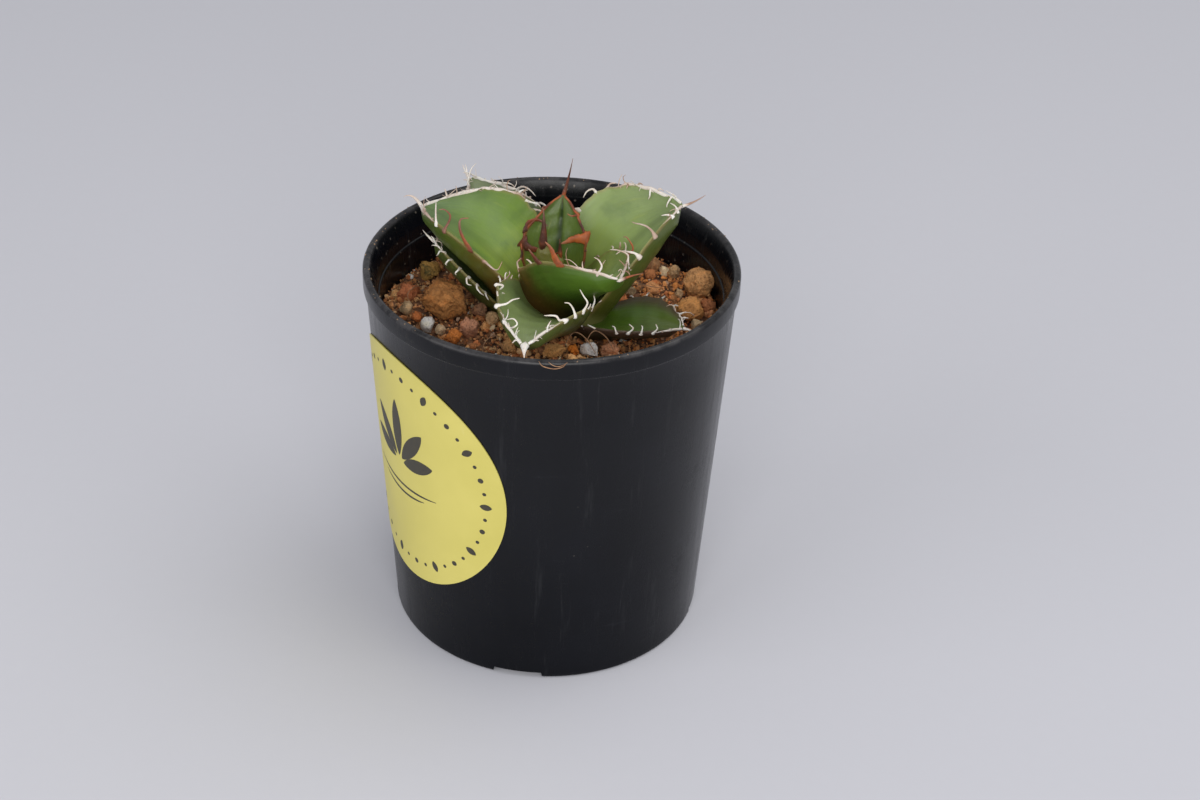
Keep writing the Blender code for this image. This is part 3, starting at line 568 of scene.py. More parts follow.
# Sizes in millimetres and angles in degrees, as in the CAD. horn is where the horny border
# starts on the +1 and -1 side; chalk goes from red-brown (0) to white (1).
leaves = {
    "leaf_1": {
        "azimuth": 78, "base": (2.4, -9.0), "length": 20.4, "rise": (75, 67.5),
        "swing": 0, "roll": -4, "twist": 1, "halfWidth": 7.4, "widestAt": 0.44,
        "baseWidth": 0.75, "cup": (1.22, 0.72), "taper": 0.85, "thick": (3.0, 1.6),
        "spine": ((1.0, 0.3, 3.6), (1.7, 0.4, 8.0)), "spineWidth": 0.48,
        "horn": (0.3, 0.62), "chalk": (0.03, 0.1), "hornWidth": 0.18, "spineChalk": 0.02,
        "upper": ((0.25, 0.3, 0.045), (0.105, 0.165, 0.028), (0.085, 0.125, 0.03)),
        "lower": ((0.06, 0.11, 0.012), (0.09, 0.15, 0.02)),
        "groove": 0.55, "midline": 0.85,
        "edgeTint": (0.20, 0.050, 0.022), "edgeAmount": 0.9, "edgeFrom": 0.90,
    },
    "leaf_2": {
        "azimuth": -56, "base": (2.5, -9.2), "length": 25.6, "rise": (58.5, 20),
        "swing": 4.6, "roll": -7, "twist": -6, "halfWidth": 12.1, "widestAt": 0.40,
        "baseWidth": 0.75, "cup": (1.29, 0.87), "taper": 0.88, "thick": (4.4, 2.4),
        "spine": ((2.2, -0.4, 1.5), (4.4, -0.6, 2.0)), "spineWidth": 0.52,
        "horn": (0.82, 0.74), "chalk": (0.62, 0.84), "hornWidth": 0.3, "spineChalk": 0.28,
        "upper": ((0.27, 0.33, 0.07), (0.25, 0.32, 0.09), (0.2, 0.28, 0.09)),
        # The underside's darker colour at the base, against the tip, is painted shade.
        "lower": ((0.022, 0.044, 0.003), (0.062, 0.122, 0.012)),
        "rust": 0.9, "rustSide": -1.0,
    },
    "leaf_3": {
        "azimuth": 153.5, "base": (4.2, -10.6), "length": 30.7, "rise": (54.7, 6.5),
        "swing": -3.4, "roll": 3, "twist": 13, "halfWidth": 14.1, "widestAt": 0.56,
        "baseWidth": 0.62, "cup": (1.22, 0.68), "taper": 0.85, "thick": (4.6, 2.4),
        "spine": ((-2.0, 0.6, 3.4), (-3.8, 0.9, 1.8)), "spineWidth": 0.6,
        "horn": (0.76, 0.5), "chalk": (0.62, 0.9), "hornWidth": 0.34, "spineChalk": 0.8,
        "upper": ((0.29, 0.38, 0.045), (0.165, 0.265, 0.040), (0.115, 0.185, 0.065)),
        "lower": ((0.075, 0.095, 0.012), (0.07, 0.11, 0.018)),
        "rust": 0.95, "midline": 0.18, "edgeShade": 0.45,
    },
    "leaf_4": {
        "azimuth": 12.6, "base": (5.7, -10.8), "length": 30.0, "rise": (59.6, 36.0),
        "swing": -12.2, "roll": 11.5, "twist": -16.8, "halfWidth": 14.0, "widestAt": 0.56,
        "baseWidth": 0.63, "cup": (1.11, 0.75), "taper": 0.92, "thick": (4.6, 2.4),
        "spine": ((2.0, 0.2, 0.5), (4.4, 0.4, 2.3)), "spineWidth": 0.46,
        "horn": (0.68, 0.9), "chalk": (0.72, 0.96), "hornWidth": 0.32, "spineChalk": 0.5,
        "upper": ((0.27, 0.34, 0.075), (0.255, 0.345, 0.105), (0.185, 0.245, 0.095)),
        "lower": ((0.075, 0.095, 0.014), (0.075, 0.1, 0.02)),
        "midline": 0.28, "edgeShade": 0.30,
    },
    "leaf_5": {
        "azimuth": 261.3, "base": (4.9, -9.5), "length": 31.1, "rise": (32.5, 8.5),
        "swing": 1.6, "roll": -10, "twist": 24, "halfWidth": 10.5, "widestAt": 0.40,
        "baseWidth": 0.67, "cup": (1.15, 0.92), "taper": 0.80, "thick": (4.4, 2.2),
        "spine": ((-0.1, -1.7, 0.3), (0.0, -3.6, -0.3)), "spineWidth": 0.95,
        "horn": (0.83, 0.8), "chalk": (0.9, 1.02), "hornWidth": 0.46, "spineChalk": 1,
        "upper": ((0.2, 0.27, 0.085), (0.23, 0.3, 0.11), (0.25, 0.31, 0.14)),
        "lower": ((0.075, 0.085, 0.018), (0.075, 0.095, 0.022)),
    },
    "leaf_6": {
        "azimuth": 116.5, "base": (5.6, -13.0), "length": 32.3, "rise": (32.2, 29.7),
        "swing": 18.2, "roll": -6.3, "twist": 14.8, "halfWidth": 9.4, "widestAt": 0.47,
        "baseWidth": 0.62, "cup": (0.81, 0.92), "taper": 0.89, "thick": (4.0, 2.0),
        "spine": ((-1.0, 1.0, 1.0), (-1.6, 1.6, 2.6)), "spineWidth": 0.6,
        "horn": (0.86, 0.66), "chalk": (0.8, 1), "hornWidth": 0.32, "spineChalk": 0.95,
        "upper": ((0.18, 0.24, 0.08), (0.2, 0.25, 0.12), (0.2, 0.24, 0.13)),
        "lower": ((0.08, 0.1, 0.022), (0.09, 0.12, 0.03)),
    },
    "leaf_7": {
        "azimuth": -31.2, "base": (4.3, -13.5), "length": 26.6, "rise": (25.3, 9.6),
        "swing": 4.2, "roll": -6, "twist": 13.4, "halfWidth": 9.6, "widestAt": 0.48,
        "baseWidth": 0.58, "cup": (0.62, 0.38), "taper": 0.83, "thick": (3.4, 1.8),
        "spine": ((1.3, -0.8, 0.2), (2.4, -1.4, 0.0)), "spineWidth": 0.45,
        "horn": (0.84, 0.88), "chalk": (0.9, 1), "hornWidth": 0.14, "spineChalk": 0.9,
        "upper": ((0.08, 0.15, 0.012), (0.075, 0.145, 0.012), (0.085, 0.12, 0.022)),
        "lower": ((0.035, 0.034, 0.01), (0.05, 0.045, 0.02)),
        "edgeTint": (0.095, 0.058, 0.045), "edgeFrom": 0.55, "edgeAmount": 0.85,
    },
    "leaf_8": {
        "azimuth": 168.7, "base": (5.45, -14.5), "length": 24.8, "rise": (37.3, 41.1),
        "swing": -13.5, "roll": 18.7, "twist": 9.6, "halfWidth": 9.0, "widestAt": 0.5,
        "baseWidth": 0.6, "cup": (0.36, 0.46), "taper": 0.85, "thick": (3.0, 1.6),
        "spine": ((-1.2, 0.3, 0.9), (-2.0, 0.5, 2.0)), "spineWidth": 0.5,
        "horn": (0.88, 0.88), "chalk": (0.9, 1), "hornWidth": 0.17, "spineChalk": 0.95,
        "upper": ((0.11, 0.17, 0.03), (0.12, 0.18, 0.04), (0.12, 0.17, 0.06)),
        "lower": ((0.05, 0.07, 0.012), (0.06, 0.08, 0.018)),
    },
}

# What a leaf has where its own rows don't say: a groove down the middle, rust low on its back,
# painted shade down the middle and towards the border, and the tint of its edge.
plainLeaf = {
    "groove": 0.0, "rust": 0.25, "rustSide": 0.0, "midline": 0.0, "edgeShade": 0.35,
    "edgeTint": (0.26, 0.17, 0.07), "edgeFrom": 0.94, "edgeAmount": 0.45,
}

# The larger teeth: side, place along the leaf, width at the base, chalk, and the way the tooth
# takes as steps (outwards, towards the tip, up from the upper face), in millimetres.
teeth = {
    "leaf_1": (
        (1, 0.65, 1.5, 0.04, ((0.2, 1.4, -0.2), (-0.8, 2.8, 0.6), (-2.5, 2.9, 2.0))),
        (1, 0.52, 2.5, 0.06, ((-1.0, -0.7, 0.9), (-2.4, -0.6, 2.1), (-4.1, 0.1, 3.4))),
        (-1, 0.84, 0.5, 0.08, ((-0.6, 0.2, 1.1), (-0.7, 0.9, 1.9))),
        (-1, 0.63, 2.8, 0.22, ((-0.9, 0.4, 2.2), (-1.7, 0.1, 3.8), (-2.1, 0.0, 4.7))),
    ),
    "leaf_2": (
        (-1, 0.56, 2.4, 0.05, ((1.4, -0.5, 0.4), (2.7, -0.9, 0.8))),
        (-1, 0.70, 2.4, 0.18, ((1.5, -0.9, 0.7), (2.6, -1.6, 1.3), (3.7, -2.6, 1.5))),
        (1, 0.84, 0.8, 0.75, ((1.0, -0.5, 0.8), (0.6, -0.7, 2.6), (-0.2, -0.5, 4.1))),
        (1, 0.75, 0.8, 0.3, ((1.7, -0.5, -0.2), (2.7, -1.2, 1.8), (2.4, -1.3, 2.5))),
        (-1, 0.32, 1.0, 0.6, ((0.9, 0.9, 0.4), (0.8, 2.0, 1.2))),
    ),
    "leaf_3": (
        (1, 0.74, 1.1, 0.9, ((1.4, 0.8, 1.4), (2.6, 1.5, 2.8))),
        (1, 0.67, 1.2, 0.35, ((0.7, 0.3, 1.9), (1.3, 0.8, 2.7), (2.2, 1.9, 2.6), (2.5, 2.6, 1.8))),
        (1, 0.50, 1.5, 0.3, ((0.4, 2.4, 1.0), (0.7, 4.0, 2.1), (1.2, 4.8, 3.4), (1.5, 3.7, 4.5))),
        (1, 0.39, 0.8, 0.6, ((0.4, -2.0, -0.1), (0.7, -2.7, 0.4), (1.2, -2.3, 2.0))),
        (-1, 0.72, 0.8, 0.7, ((-1.2, -2.2, -0.3), (-2.9, -3.2, -0.8))),
        (-1, 0.76, 0.8, 0.7, ((-0.6, -3.0, 0.2), (-1.7, -4.4, 0.2), (-2.0, -5.2, 0.1))),
        (-1, 0.50, 1.0, 0.97, ((0.6, -1.0, 0.4), (1.4, -2.0, 0.3), (1.6, -3.2, 0.9))),
        (-1, 0.57, 1.0, 0.95, ((0.8, -0.4, 0.4), (1.2, -1.6, 0.9))),
        (-1, 0.43, 0.8, 0.85, ((0.6, -0.9, 0.2), (0.9, -2.0, 0.8))),
    ),
    "leaf_4": (
        (1, 0.44, 1.2, 0.92, ((0.7, -0.4, 0.3), (1.0, -1.9, 0.5), (0.7, -3.3, 0.3), (-0.3, -3.9, 0.2))),
        (1, 0.58, 1.0, 0.92, ((0.8, -0.2, 0.4), (1.0, -1.4, 0.7), (0.4, -2.7, 0.6))),
        (1, 0.65, 0.9, 0.70, ((0.6, 0.8, 0.3), (0.5, 2.0, 0.2))),
        (1, 0.75, 0.9, 0.6, ((-0.2, 0.4, 0.5), (-0.9, 0.1, 0.7))),
        (1, 0.86, 1.0, 0.98, ((-0.5, 0.3, 0.7), (-1.4, 0.5, 0.8), (-2.1, 0.3, 0.7))),
        (1, 0.80, 0.7, 0.6, ((0.6, 0.5, 0.4), (0.5, 1.4, 0.7))),
        (-1, 0.80, 1.3, 0.62,
         ((0.4, 0.4, 0.9), (0.4, 0.8, 2.2), (0.1, 0.9, 3.6), (-0.6, 1.1, 4.9), (-0.9, 1.3, 5.8))),
        (-1, 0.65, 1.3, 0.86, ((0.4, 0.0, 0.9), (0.5, -0.5, 2.2), (0.2, -1.0, 3.4), (-0.2, -1.9, 4.0))),
        (1, 0.955, 0.9, 1.0, ((-0.7, 0.0, 0.5), (-1.7, 0.1, 1.0), (-2.3, 0.3, 1.1))),
        (1, 0.975, 0.8, 1.0, ((0.6, 0.2, 0.9), (0.9, 0.1, 2.4), (1.1, -0.3, 3.6))),
        (-1, 0.93, 1.0, 1.0, ((0.0, -0.4, 0.8), (-0.6, -0.8, 1.7))),
        (-1, 0.97, 0.8, 1.0, ((0.3, 0.3, 0.9), (0.0, 0.5, 2.1))),
    ),
    "leaf_5": (
        (-1, 0.51, 1.0, 0.98, ((-0.7, 0.0, 1.0), (-1.2, 0.5, -0.2), (-2.1, 0.5, 0.7))),
        (-1, 0.73, 1.2, 1.0, ((-0.6, 0.2, 1.6), (-0.7, 0.1, 3.0), (-1.2, 0.2, 4.3))),
        (-1, 0.86, 1.1, 1.0, ((-1.0, 1.0, 0.2), (-1.2, 1.1, 1.6), (-0.4, 0.2, 1.7), (0.2, -0.2, 0.6))),
        (1, 0.77, 1.3, 0.97, ((-0.4, 0.6, 0.6), (-0.3, 0.8, 1.7), (-1.3, 2.1, 3.1))),
        (1, 0.67, 1.2, 0.97, ((0.5, -0.1, 1.1), (0.7, 0.0, 2.3), (0.3, 0.5, 3.0))),
        (1, 0.57, 1.2, 0.97, ((1.4, -0.5, 0.7), (1.7, -0.4, 2.2), (2.0, -0.3, 3.6))),
        (1, 0.36, 1.0, 0.95, ((1.2, 0.1, 0.8), (1.8, 0.1, 2.0))),
        (1, 0.98, 0.9, 1.0, ((1.0, -0.2, -0.2), (2.0, -0.3, -0.6))),
        (-1, 0.98, 0.9, 1.0, ((0.9, 0.2, -0.2), (1.7, 0.6, -0.8))),
    ),
    "leaf_6": (
        (-1, 0.86, 1.0, 0.95, ((0.4, -0.7, 0.5), (0.7, -1.9, 0.8), (0.5, -3.0, 0.7))),
        (-1, 0.77, 1.0, 0.90, ((0.7, -0.4, 0.4), (1.3, -1.4, 0.7), (1.2, -3.0, 0.6), (0.6, -4.4, 0.4))),
        (-1, 0.62, 1.5, 1.0, ((0.6, -0.6, 0.4), (0.9, -1.8, 0.5), (0.7, -2.9, 0.9))),
        (-1, 0.54, 1.4, 1.0, ((0.7, -0.5, 0.4), (1.0, -1.5, 0.8))),
        (1, 0.985, 0.9, 1.0, ((0.8, 0.4, 0.4), (1.8, 1.3, 0.9), (2.4, 2.4, 1.0))),
        (1, 0.97, 0.9, 1.0, ((0.6, 0.9, 0.8), (1.1, 1.9, 2.1), (1.0, 2.6, 3.3))),
        (-1, 0.98, 0.9, 1.0, ((0.3, 0.9, 0.8), (0.4, 2.0, 1.9), (0.2, 2.8, 2.6))),
        (1, 0.93, 1.0, 1.0, ((0.6, 0.0, 0.3), (1.6, 0.1, 0.4), (2.2, -0.5, 0.0))),
        (1, 0.88, 1.0, 1.0, ((0.7, -0.1, 0.2), (1.5, -0.2, -0.2), (1.9, 0.1, -0.9))),
        (1, 0.91, 0.9, 1.0, ((-0.4, -0.5, 0.7), (-1.1, -1.2, 1.0), (-1.9, -1.2, 0.9))),
    ),
    "leaf_7": (
        (-1, 0.64, 0.6, 1.0, ((0.2, -0.3, 0.8), (0.3, -0.8, 1.0))),
        (-1, 0.72, 0.7, 1.0, ((0.1, 0.7, 0.8), (0.0, -0.1, 1.6))),
        (-1, 0.79, 0.7, 1.0, ((0.1, 0.2, 1.0), (0.0, 0.0, 1.4))),
        (-1, 0.86, 0.7, 1.0, ((0.1, 0.6, 0.7), (0.0, 0.3, 1.6))),
        (1, 0.90, 0.5, 1.0, ((0.6, 0.5, 0.2), (1.4, 0.9, 0.3))),
        (1, 0.94, 0.5, 1.0, ((0.5, 0.6, 0.3), (1.2, 1.4, 0.3))),
        (1, 0.81, 0.6, 1.0, ((0.5, 0.5, 0.4), (0.9, 1.3, 0.3))),
        (1, 0.66, 0.6, 1.0, ((0.5, 0.6, 0.3), (0.2, 1.2, 0.8))),
        (1, 0.50, 0.6, 1.0, ((0.4, 0.5, 0.4), (0.2, 1.1, 0.7))),
    ),
    "leaf_8": (
        (1, 0.93, 0.8, 1.0, ((0.5, 0.2, -0.3), (0.9, 0.6, -1.0))),
        (1, 0.88, 0.9, 1.0, ((0.6, 0.1, -0.5), (0.6, -0.3, -1.3), (1.0, -0.7, -1.7))),
        (1, 0.80, 0.9, 1.0, ((0.6, -0.2, -0.5), (0.5, -0.4, -1.4), (0.9, -1.1, -1.6))),
        (1, 0.71, 0.9, 1.0, ((0.6, -0.3, -0.5), (0.6, -0.4, -1.3), (1.1, -1.0, -1.5))),
        (1, 0.62, 1.0, 1.0, ((0.6, -0.1, -0.5), (0.6, -0.9, -1.1), (0.9, -1.8, -0.8))),
        (1, 0.53, 1.0, 1.0, ((0.6, -0.3, -0.4), (0.6, -1.3, -0.6), (0.6, -2.3, -0.5))),
        (1, 0.44, 0.9, 1.0, ((0.5, -0.3, -0.3), (0.7, -1.1, -0.6))),
        (1, 0.97, 0.7, 1.0, ((0.3, 0.9, 0.2), (0.8, 1.7, 0.1))),
        (-1, 0.97, 0.7, 1.0, ((0.3, 0.9, 0.4), (0.3, 1.7, 0.9))),
    ),
}

leaves = {name: {**plainLeaf, **leaf} for name, leaf in leaves.items()}
hornMargin = 0.42       # thickness of the leaf's edge
leafSteps, leafAcross = 110, 40


def leafFrames(leaf, t):
    # Midrib points and local directions (across, out of the upper face, along) at each t.
    steps = 200
    grid = np.linspace(0, 1, steps + 1)
    rise = np.radians(mixed(*leaf["rise"], grid))
    heading = np.radians(leaf["azimuth"] + leaf["swing"] * grid ** 2)
    along = np.stack([np.cos(rise) * np.cos(heading), np.cos(rise) * np.sin(heading), np.sin(rise)], 1)
    moves = (along[1:] + along[:-1]) / 2 * leaf["length"] / steps
    start = polar(leaf["azimuth"], leaf["base"][0], leaf["base"][1])
    spots = start + np.concatenate([np.zeros((1, 3)), np.cumsum(moves, 0)])
    side = np.stack([-np.sin(heading), np.cos(heading), np.zeros_like(heading)], 1)
    up = np.cross(along, side)
    turn = np.radians(leaf["roll"] + leaf["twist"] * (grid - 0.5))[:, None]
    across = side * np.cos(turn) + up * np.sin(turn)
    out = up * np.cos(turn) - side * np.sin(turn)
    return [np.stack([np.interp(t, grid, v[:, k]) for k in range(3)], -1)
            for v in (spots, across, out, along)]


def leafWidth(leaf, t):
    widest = leaf["widestAt"]
    swell = np.sin(np.pi / 2 * np.clip(t / widest, 0, 1)) ** 1.5
    close = np.cos(np.pi / 2 * np.clip((t - widest) / (1 - widest), 0, 1)) ** leaf["taper"]
    share = np.where(t < widest, mixed(leaf["baseWidth"], 1.0, swell), close)
    return np.maximum(leaf["halfWidth"] * share, 0.45)


def toothLobes(leaf, name, t, side):
    # How far the edge swells out under its teeth, in millimetres.
    swell = 0.0
    for toothSide, place, width, _, _ in teeth.get(name, ()):
        if toothSide == side:
            swell = swell + 0.42 * np.exp(-((t - place) * leaf["length"] / (0.8 * width)) ** 2)
    return swell


def leafSurface(name, t, s):
    # Upper-face points and facing directions for arrays t (0 to 1) and s (-1 to 1).
    leaf = leaves[name]
    centre, across, out, along = leafFrames(leaf, t)
    seed = sum(ord(c) for c in name)
    waves = np.sin(t * 23 + seed) * 0.012 + np.sin(t * 51 + seed * 1.7) * 0.008
    width = leafWidth(leaf, t) * (1 + waves * np.abs(s) ** 3)
    for side in (1, -1):
        width = width + np.where(s * side > 0, toothLobes(leaf, name, t, side) * np.abs(s) ** 4, 0)
    cup = mixed(*leaf["cup"], t)
    bow = (width * np.sin(cup * s) / cup)[..., None]
    lift = (width * (1 - np.cos(cup * s)) / cup)[..., None]
    spots = centre + across * bow + out * lift
    facing = out * np.cos(cup * s)[..., None] - across * np.sin(cup * s)[..., None]
    ripple = 0.10 * np.sin(s * 9 + seed) * np.sin(t * 11 + seed * 0.6) + 0.05 * np.sin(t * 37 + s * 6)
    groove = leaf["groove"] * np.exp(-(s / 0.10) ** 2)
    fade = np.minimum(1, (1 - t) * 5) * (1 - s ** 4)
    spots = spots + facing * ((ripple - groove) * fade)[..., None]
    return spots, facing, along


def leafKeel(leaf, t, s):
    width = leafWidth(leaf, t)
    keel = mixed(*leaf["thick"], t) * np.minimum(1.0, width / (0.35 * leaf["halfWidth"]))
    return hornMargin + (keel - hornMargin) * (1 - s * s) * np.where(keel > hornMargin, 1, 0)


def makeBlade(name, material, tRow, across, node):
    # Closed blade between the upper face and the keeled back; tRow runs up the leaf.
    leaf = leaves[name]
    edge = np.sin(np.linspace(-1, 1, across + 1) * np.pi / 2)
    t, s = np.meshgrid(tRow, edge, indexing="ij")
    upper, facing, _ = leafSurface(name, t, s)
    lower = upper - facing * leafKeel(leaf, t, s)[..., None]
    loop = np.concatenate([upper, lower[:, ::-1]], axis=1)
    rows, columns = loop.shape[:2]
    faces = gridFaces(rows, columns, closed=True)
    faces.append(tuple(range(columns))[::-1])
    last = (rows - 1) * columns
    faces.append(tuple(range(last, last + columns)))
    marks = {
        "along": np.concatenate([t, t], 1).ravel(),
        "across": np.concatenate([s, s[:, ::-1]], 1).ravel(),
        "face": np.concatenate([np.ones_like(s), np.zeros_like(s)], 1).ravel(),
    }
    verts = fromRim(loop.reshape(-1, 3))
    addPiece(name + "_blade", verts, faces, material, [node], marks, sharp=70)


def curvePath(points, count):
    # Smooth path through the points, as evenly spaced samples.
    points = np.array(points, dtype=float)
    first = 2 * points[0] - points[1]
    last = 2 * points[-1] - points[-2]
    knots = np.vstack([first, points, last])
    samples = []
    for i in range(len(points) - 1):
        p0, p1, p2, p3 = knots[i:i + 4]
        for u in np.linspace(0, 1, 12, endpoint=False):
            samples.append(0.5 * (2 * p1 + (p2 - p0) * u + (2 * p0 - 5 * p1 + 4 * p2 - p3) * u ** 2
                                  + (3 * p1 - p0 - 3 * p2 + p3) * u ** 3))
    samples.append(points[-1])
    samples = np.array(samples)
    lengths = np.concatenate([[0], np.cumsum(np.linalg.norm(np.diff(samples, axis=0), axis=1))])
    even = np.linspace(0, lengths[-1], count)
    return np.stack([np.interp(even, lengths, samples[:, k]) for k in range(3)], 1)


class Tubes:
    # Collects swept pieces of flattened round section into one mesh.

    def __init__(self, sides=8):
        self.sides = sides
        self.verts, self.faces, self.chalk, self.tipness = [], [], [], []

    def sweep(self, path, wide, narrow, flatDirection, chalk, tipness):
        # wide and narrow are half sizes along the path; flatDirection lies across the wide side.
        count = len(path)
        along = np.gradient(path, axis=0)
        along = unit(along)
        normal = np.array(flatDirection, dtype=float)
        start = len(self.verts)
        for i in range(count):
            normal = normal - along[i] * normal.dot(along[i])
            normal = normal / max(np.linalg.norm(normal), 1e-9)
            binormal = np.cross(along[i], normal)
            for k in range(self.sides):
                angle = math.tau * k / self.sides
                offset = binormal * (wide[i] * math.cos(angle)) + normal * (narrow[i] * math.sin(angle))
                self.verts.append(path[i] + offset)
                self.chalk.append(chalk[i])
                self.tipness.append(tipness[i])
        self.faces += gridFaces(count, self.sides, closed=True, start=start)
        self.faces.append(tuple(range(start, start + self.sides))[::-1])
        end = start + (count - 1) * self.sides
        self.faces.append(tuple(range(end, end + self.sides)))


def edgeFrame(name, t, side):
    # Point on the leaf's edge with its outward, tipward and upward directions.
    t = np.array([t])
    spot, facing, _ = leafSurface(name, t, np.array([side * 1.0]))
    inside, _, _ = leafSurface(name, t, np.array([side * 0.97]))
    ahead, _, _ = leafSurface(name, np.minimum(t + 0.01, 1.0), np.array([side * 1.0]))
    behind, _, _ = leafSurface(name, t - 0.01, np.array([side * 1.0]))
    tipward = unit(ahead - behind)[0]
    outward = (spot - inside)[0]
    outward = unit(outward - tipward * outward.dot(tipward))
    upward = facing[0] - tipward * facing[0].dot(tipward)
    upward = unit(upward - outward * upward.dot(outward))
    return spot[0] - facing[0] * hornMargin * 0.5, outward, tipward, upward


def addTooth(tubes, name, side, place, width, chalk, steps, rng):
    # Young teeth are flat and red, old ones are pale threads on a swollen foot.
    spot, outward, tipward, upward = edgeFrame(name, place, side)
    turn = np.stack([outward, tipward, upward])
    knots = [np.zeros(3)] + [np.array(step, dtype=float) for step in steps]
    root = -0.35 * unit(knots[1]) + np.array((-0.30, 0.0, -0.05))
    path = curvePath([root] + knots, 26) @ turn + spot
    u = np.linspace(0, 1, len(path))
    flat = smoothStep(0.45, 0.25, chalk)
    foot = np.exp(-(u / 0.15) ** 2)
    wobble = 1 + 0.16 * np.sin(u * 17 + rng.uniform(0, 6)) * np.sin(u * 41 + rng.uniform(0, 6))
    thread = (0.13 + 0.08 * width) * (1 - u) ** 0.55 + 0.05
    blade = 0.44 * width * (1 - u) ** 0.8 + 0.06
    wide = mixed(thread + 0.30 * width * foot, blade + 0.16 * width * foot, flat) * wobble
    narrow = mixed(thread * 0.85 + 0.16 * width * foot, 0.10 + 0.10 * width * (1 - u), flat)
    broadSide = mixed(upward, unit(np.cross(path[6] - path[2], outward + 0.3 * tipward)), 0.35 * flat)
    shade = chalk + mixed(0.10, 0.03, flat) * np.sin(u * 7 + rng.uniform(0, 6))
    tubes.sweep(path, wide, narrow, broadSide, shade, u)


def addSmallTeeth(tubes, name, rng):
    # Small curled teeth in the gaps between the larger ones.
    leaf = leaves[name]
    size = leaf["halfWidth"] / 12
    for side in (1, -1):
        taken = [place for toothSide, place, *_ in teeth.get(name, ()) if toothSide == side]
        place = 0.20 + rng.uniform(0, 0.08)
        while place < 0.96:
            apart = min([abs(place - other) for other in taken] or [1]) * leaf["length"]
            if apart > 2.0:
                length = size * rng.uniform(0.9, 2.2) * (0.5 + 0.6 * place)
                lean = rng.uniform(-0.9, 0.5)
                lift = rng.uniform(-0.1, 0.9)
                curl = rng.uniform(-1.1, 1.1)
                first = np.array((0.55, 0.35 * lean, 0.4 * lift)) * length
                second = np.array((0.85, 0.35 * lean + 0.45 * curl, 0.8 * lift)) * length
                third = np.array((0.75, 0.3 * lean + 0.95 * curl, 1.1 * lift)) * length
                chalk = mixed(*leaf["chalk"], place) + rng.uniform(-0.15, 0.05)
                width = rng.uniform(0.6, 1.0) * (0.6 + 0.4 * size)
                addTooth(tubes, name, side, place, width, chalk, (first, second, third), rng)
            place += rng.uniform(2.4, 4.2) / leaf["length"]


def addHornEdge(tubes, name, side, rng):
    # Ragged horny border that runs from partway up the leaf to its tip.
    leaf = leaves[name]
    start = leaf["horn"][0 if side == 1 else 1]
    t = np.linspace(start - 0.03, 1.0, 130)
    spot, facing, _ = leafSurface(name, t, np.full_like(t, side * 1.0))
    phase = rng.uniform(0, 6)
    rag = 1 + 0.15 * np.sin(t * 37 + phase) + 0.10 * np.sin(t * 83 + phase * 2) + 0.10 * np.sin(t * 17)
    sway = 0.06 * np.sin(t * 45 + phase) + 0.03 * np.sin(t * 110 + phase)
    path = spot - facing * (hornMargin * 0.5 - sway[:, None])
    grow = smoothStep(start - 0.03, start + 0.10, t)
    wide = 0.04 + leaf["hornWidth"] * grow * rag
    narrow = 0.04 + (hornMargin * 0.5 + 0.12 * leaf["hornWidth"]) * grow * mixed(1.0, rag, 0.5)
    chalk = mixed(*leaf["chalk"], smoothStep(start, start + 0.25, t)) + 0.05 * np.sin(t * 40 + phase)
    tubes.sweep(path, wide, narrow, facing[0], chalk, np.zeros_like(t))


def addShreds(tubes, name, side, rng):
    # fine curled fibres that peel from the horny border
    leaf = leaves[name]
    start = leaf["horn"][0 if side == 1 else 1]
    place = start + 0.02
    while place < 0.995:
        spot, outward, tipward, upward = edgeFrame(name, min(place, 0.985), side)
        length = rng.uniform(0.7, 2.3)
        way = outward * rng.uniform(-0.2, 1.0) + upward * rng.uniform(-0.3, 1.1)
        way = unit(way + tipward * rng.uniform(-0.9, 0.9))
        curl = unit(np.array([rng.gauss(0, 1) for _ in range(3)]))
        knots = [spot - way * 0.25, spot + way * length * 0.45 + curl * length * 0.10,
                 spot + way * length * 0.80 + curl * length * 0.42,
                 spot + way * length * 0.75 + curl * length * 0.95]
        path = curvePath(knots, 14)
        u = np.linspace(0, 1, len(path))
        thick = rng.uniform(0.07, 0.15) * (1 - u) ** 0.5 + 0.03
        shade = mixed(*leaf["chalk"], smoothStep(start, start + 0.2, place)) + rng.uniform(-0.25, 0.05)
        tubes.sweep(path, thick, thick * 0.7, upward, np.full_like(u, shade), u)
        place += rng.uniform(0.5, 1.5) / leaf["length"]


def addSpine(tubes, name):
    # Terminal spine that carries on from the two horny borders.
    leaf = leaves[name]
    centre, _, out, along = (v[0] for v in leafFrames(leaf, np.array([1.0])))
    bend, end = (np.array(v) for v in leaf["spine"])
    u = np.linspace(0, 1, 36)[:, None]
    path = centre - out * 0.35 + bend * (2 * u * (1 - u)) + end * u * u
    back = centre - out * 0.35 - along * np.linspace(1.5, 0.2, 5)[:, None]
    path = np.vstack([back, path])
    u = np.concatenate([np.zeros(5), u[:, 0]])
    grow = np.concatenate([np.linspace(0.45, 0.95, 5), np.ones(36)])
    wide = leaf["spineWidth"] * (0.82 * (1 - u) ** 1.15 + 0.09) * grow
    narrow = leaf["spineWidth"] * (0.62 * (1 - u) ** 1.1 + 0.08) * grow
    chalk = mixed(leaf["chalk"][1], leaf["spineChalk"], smoothStep(0.02, 0.35, u))
    tubes.sweep(path, wide, narrow, out, chalk, u)


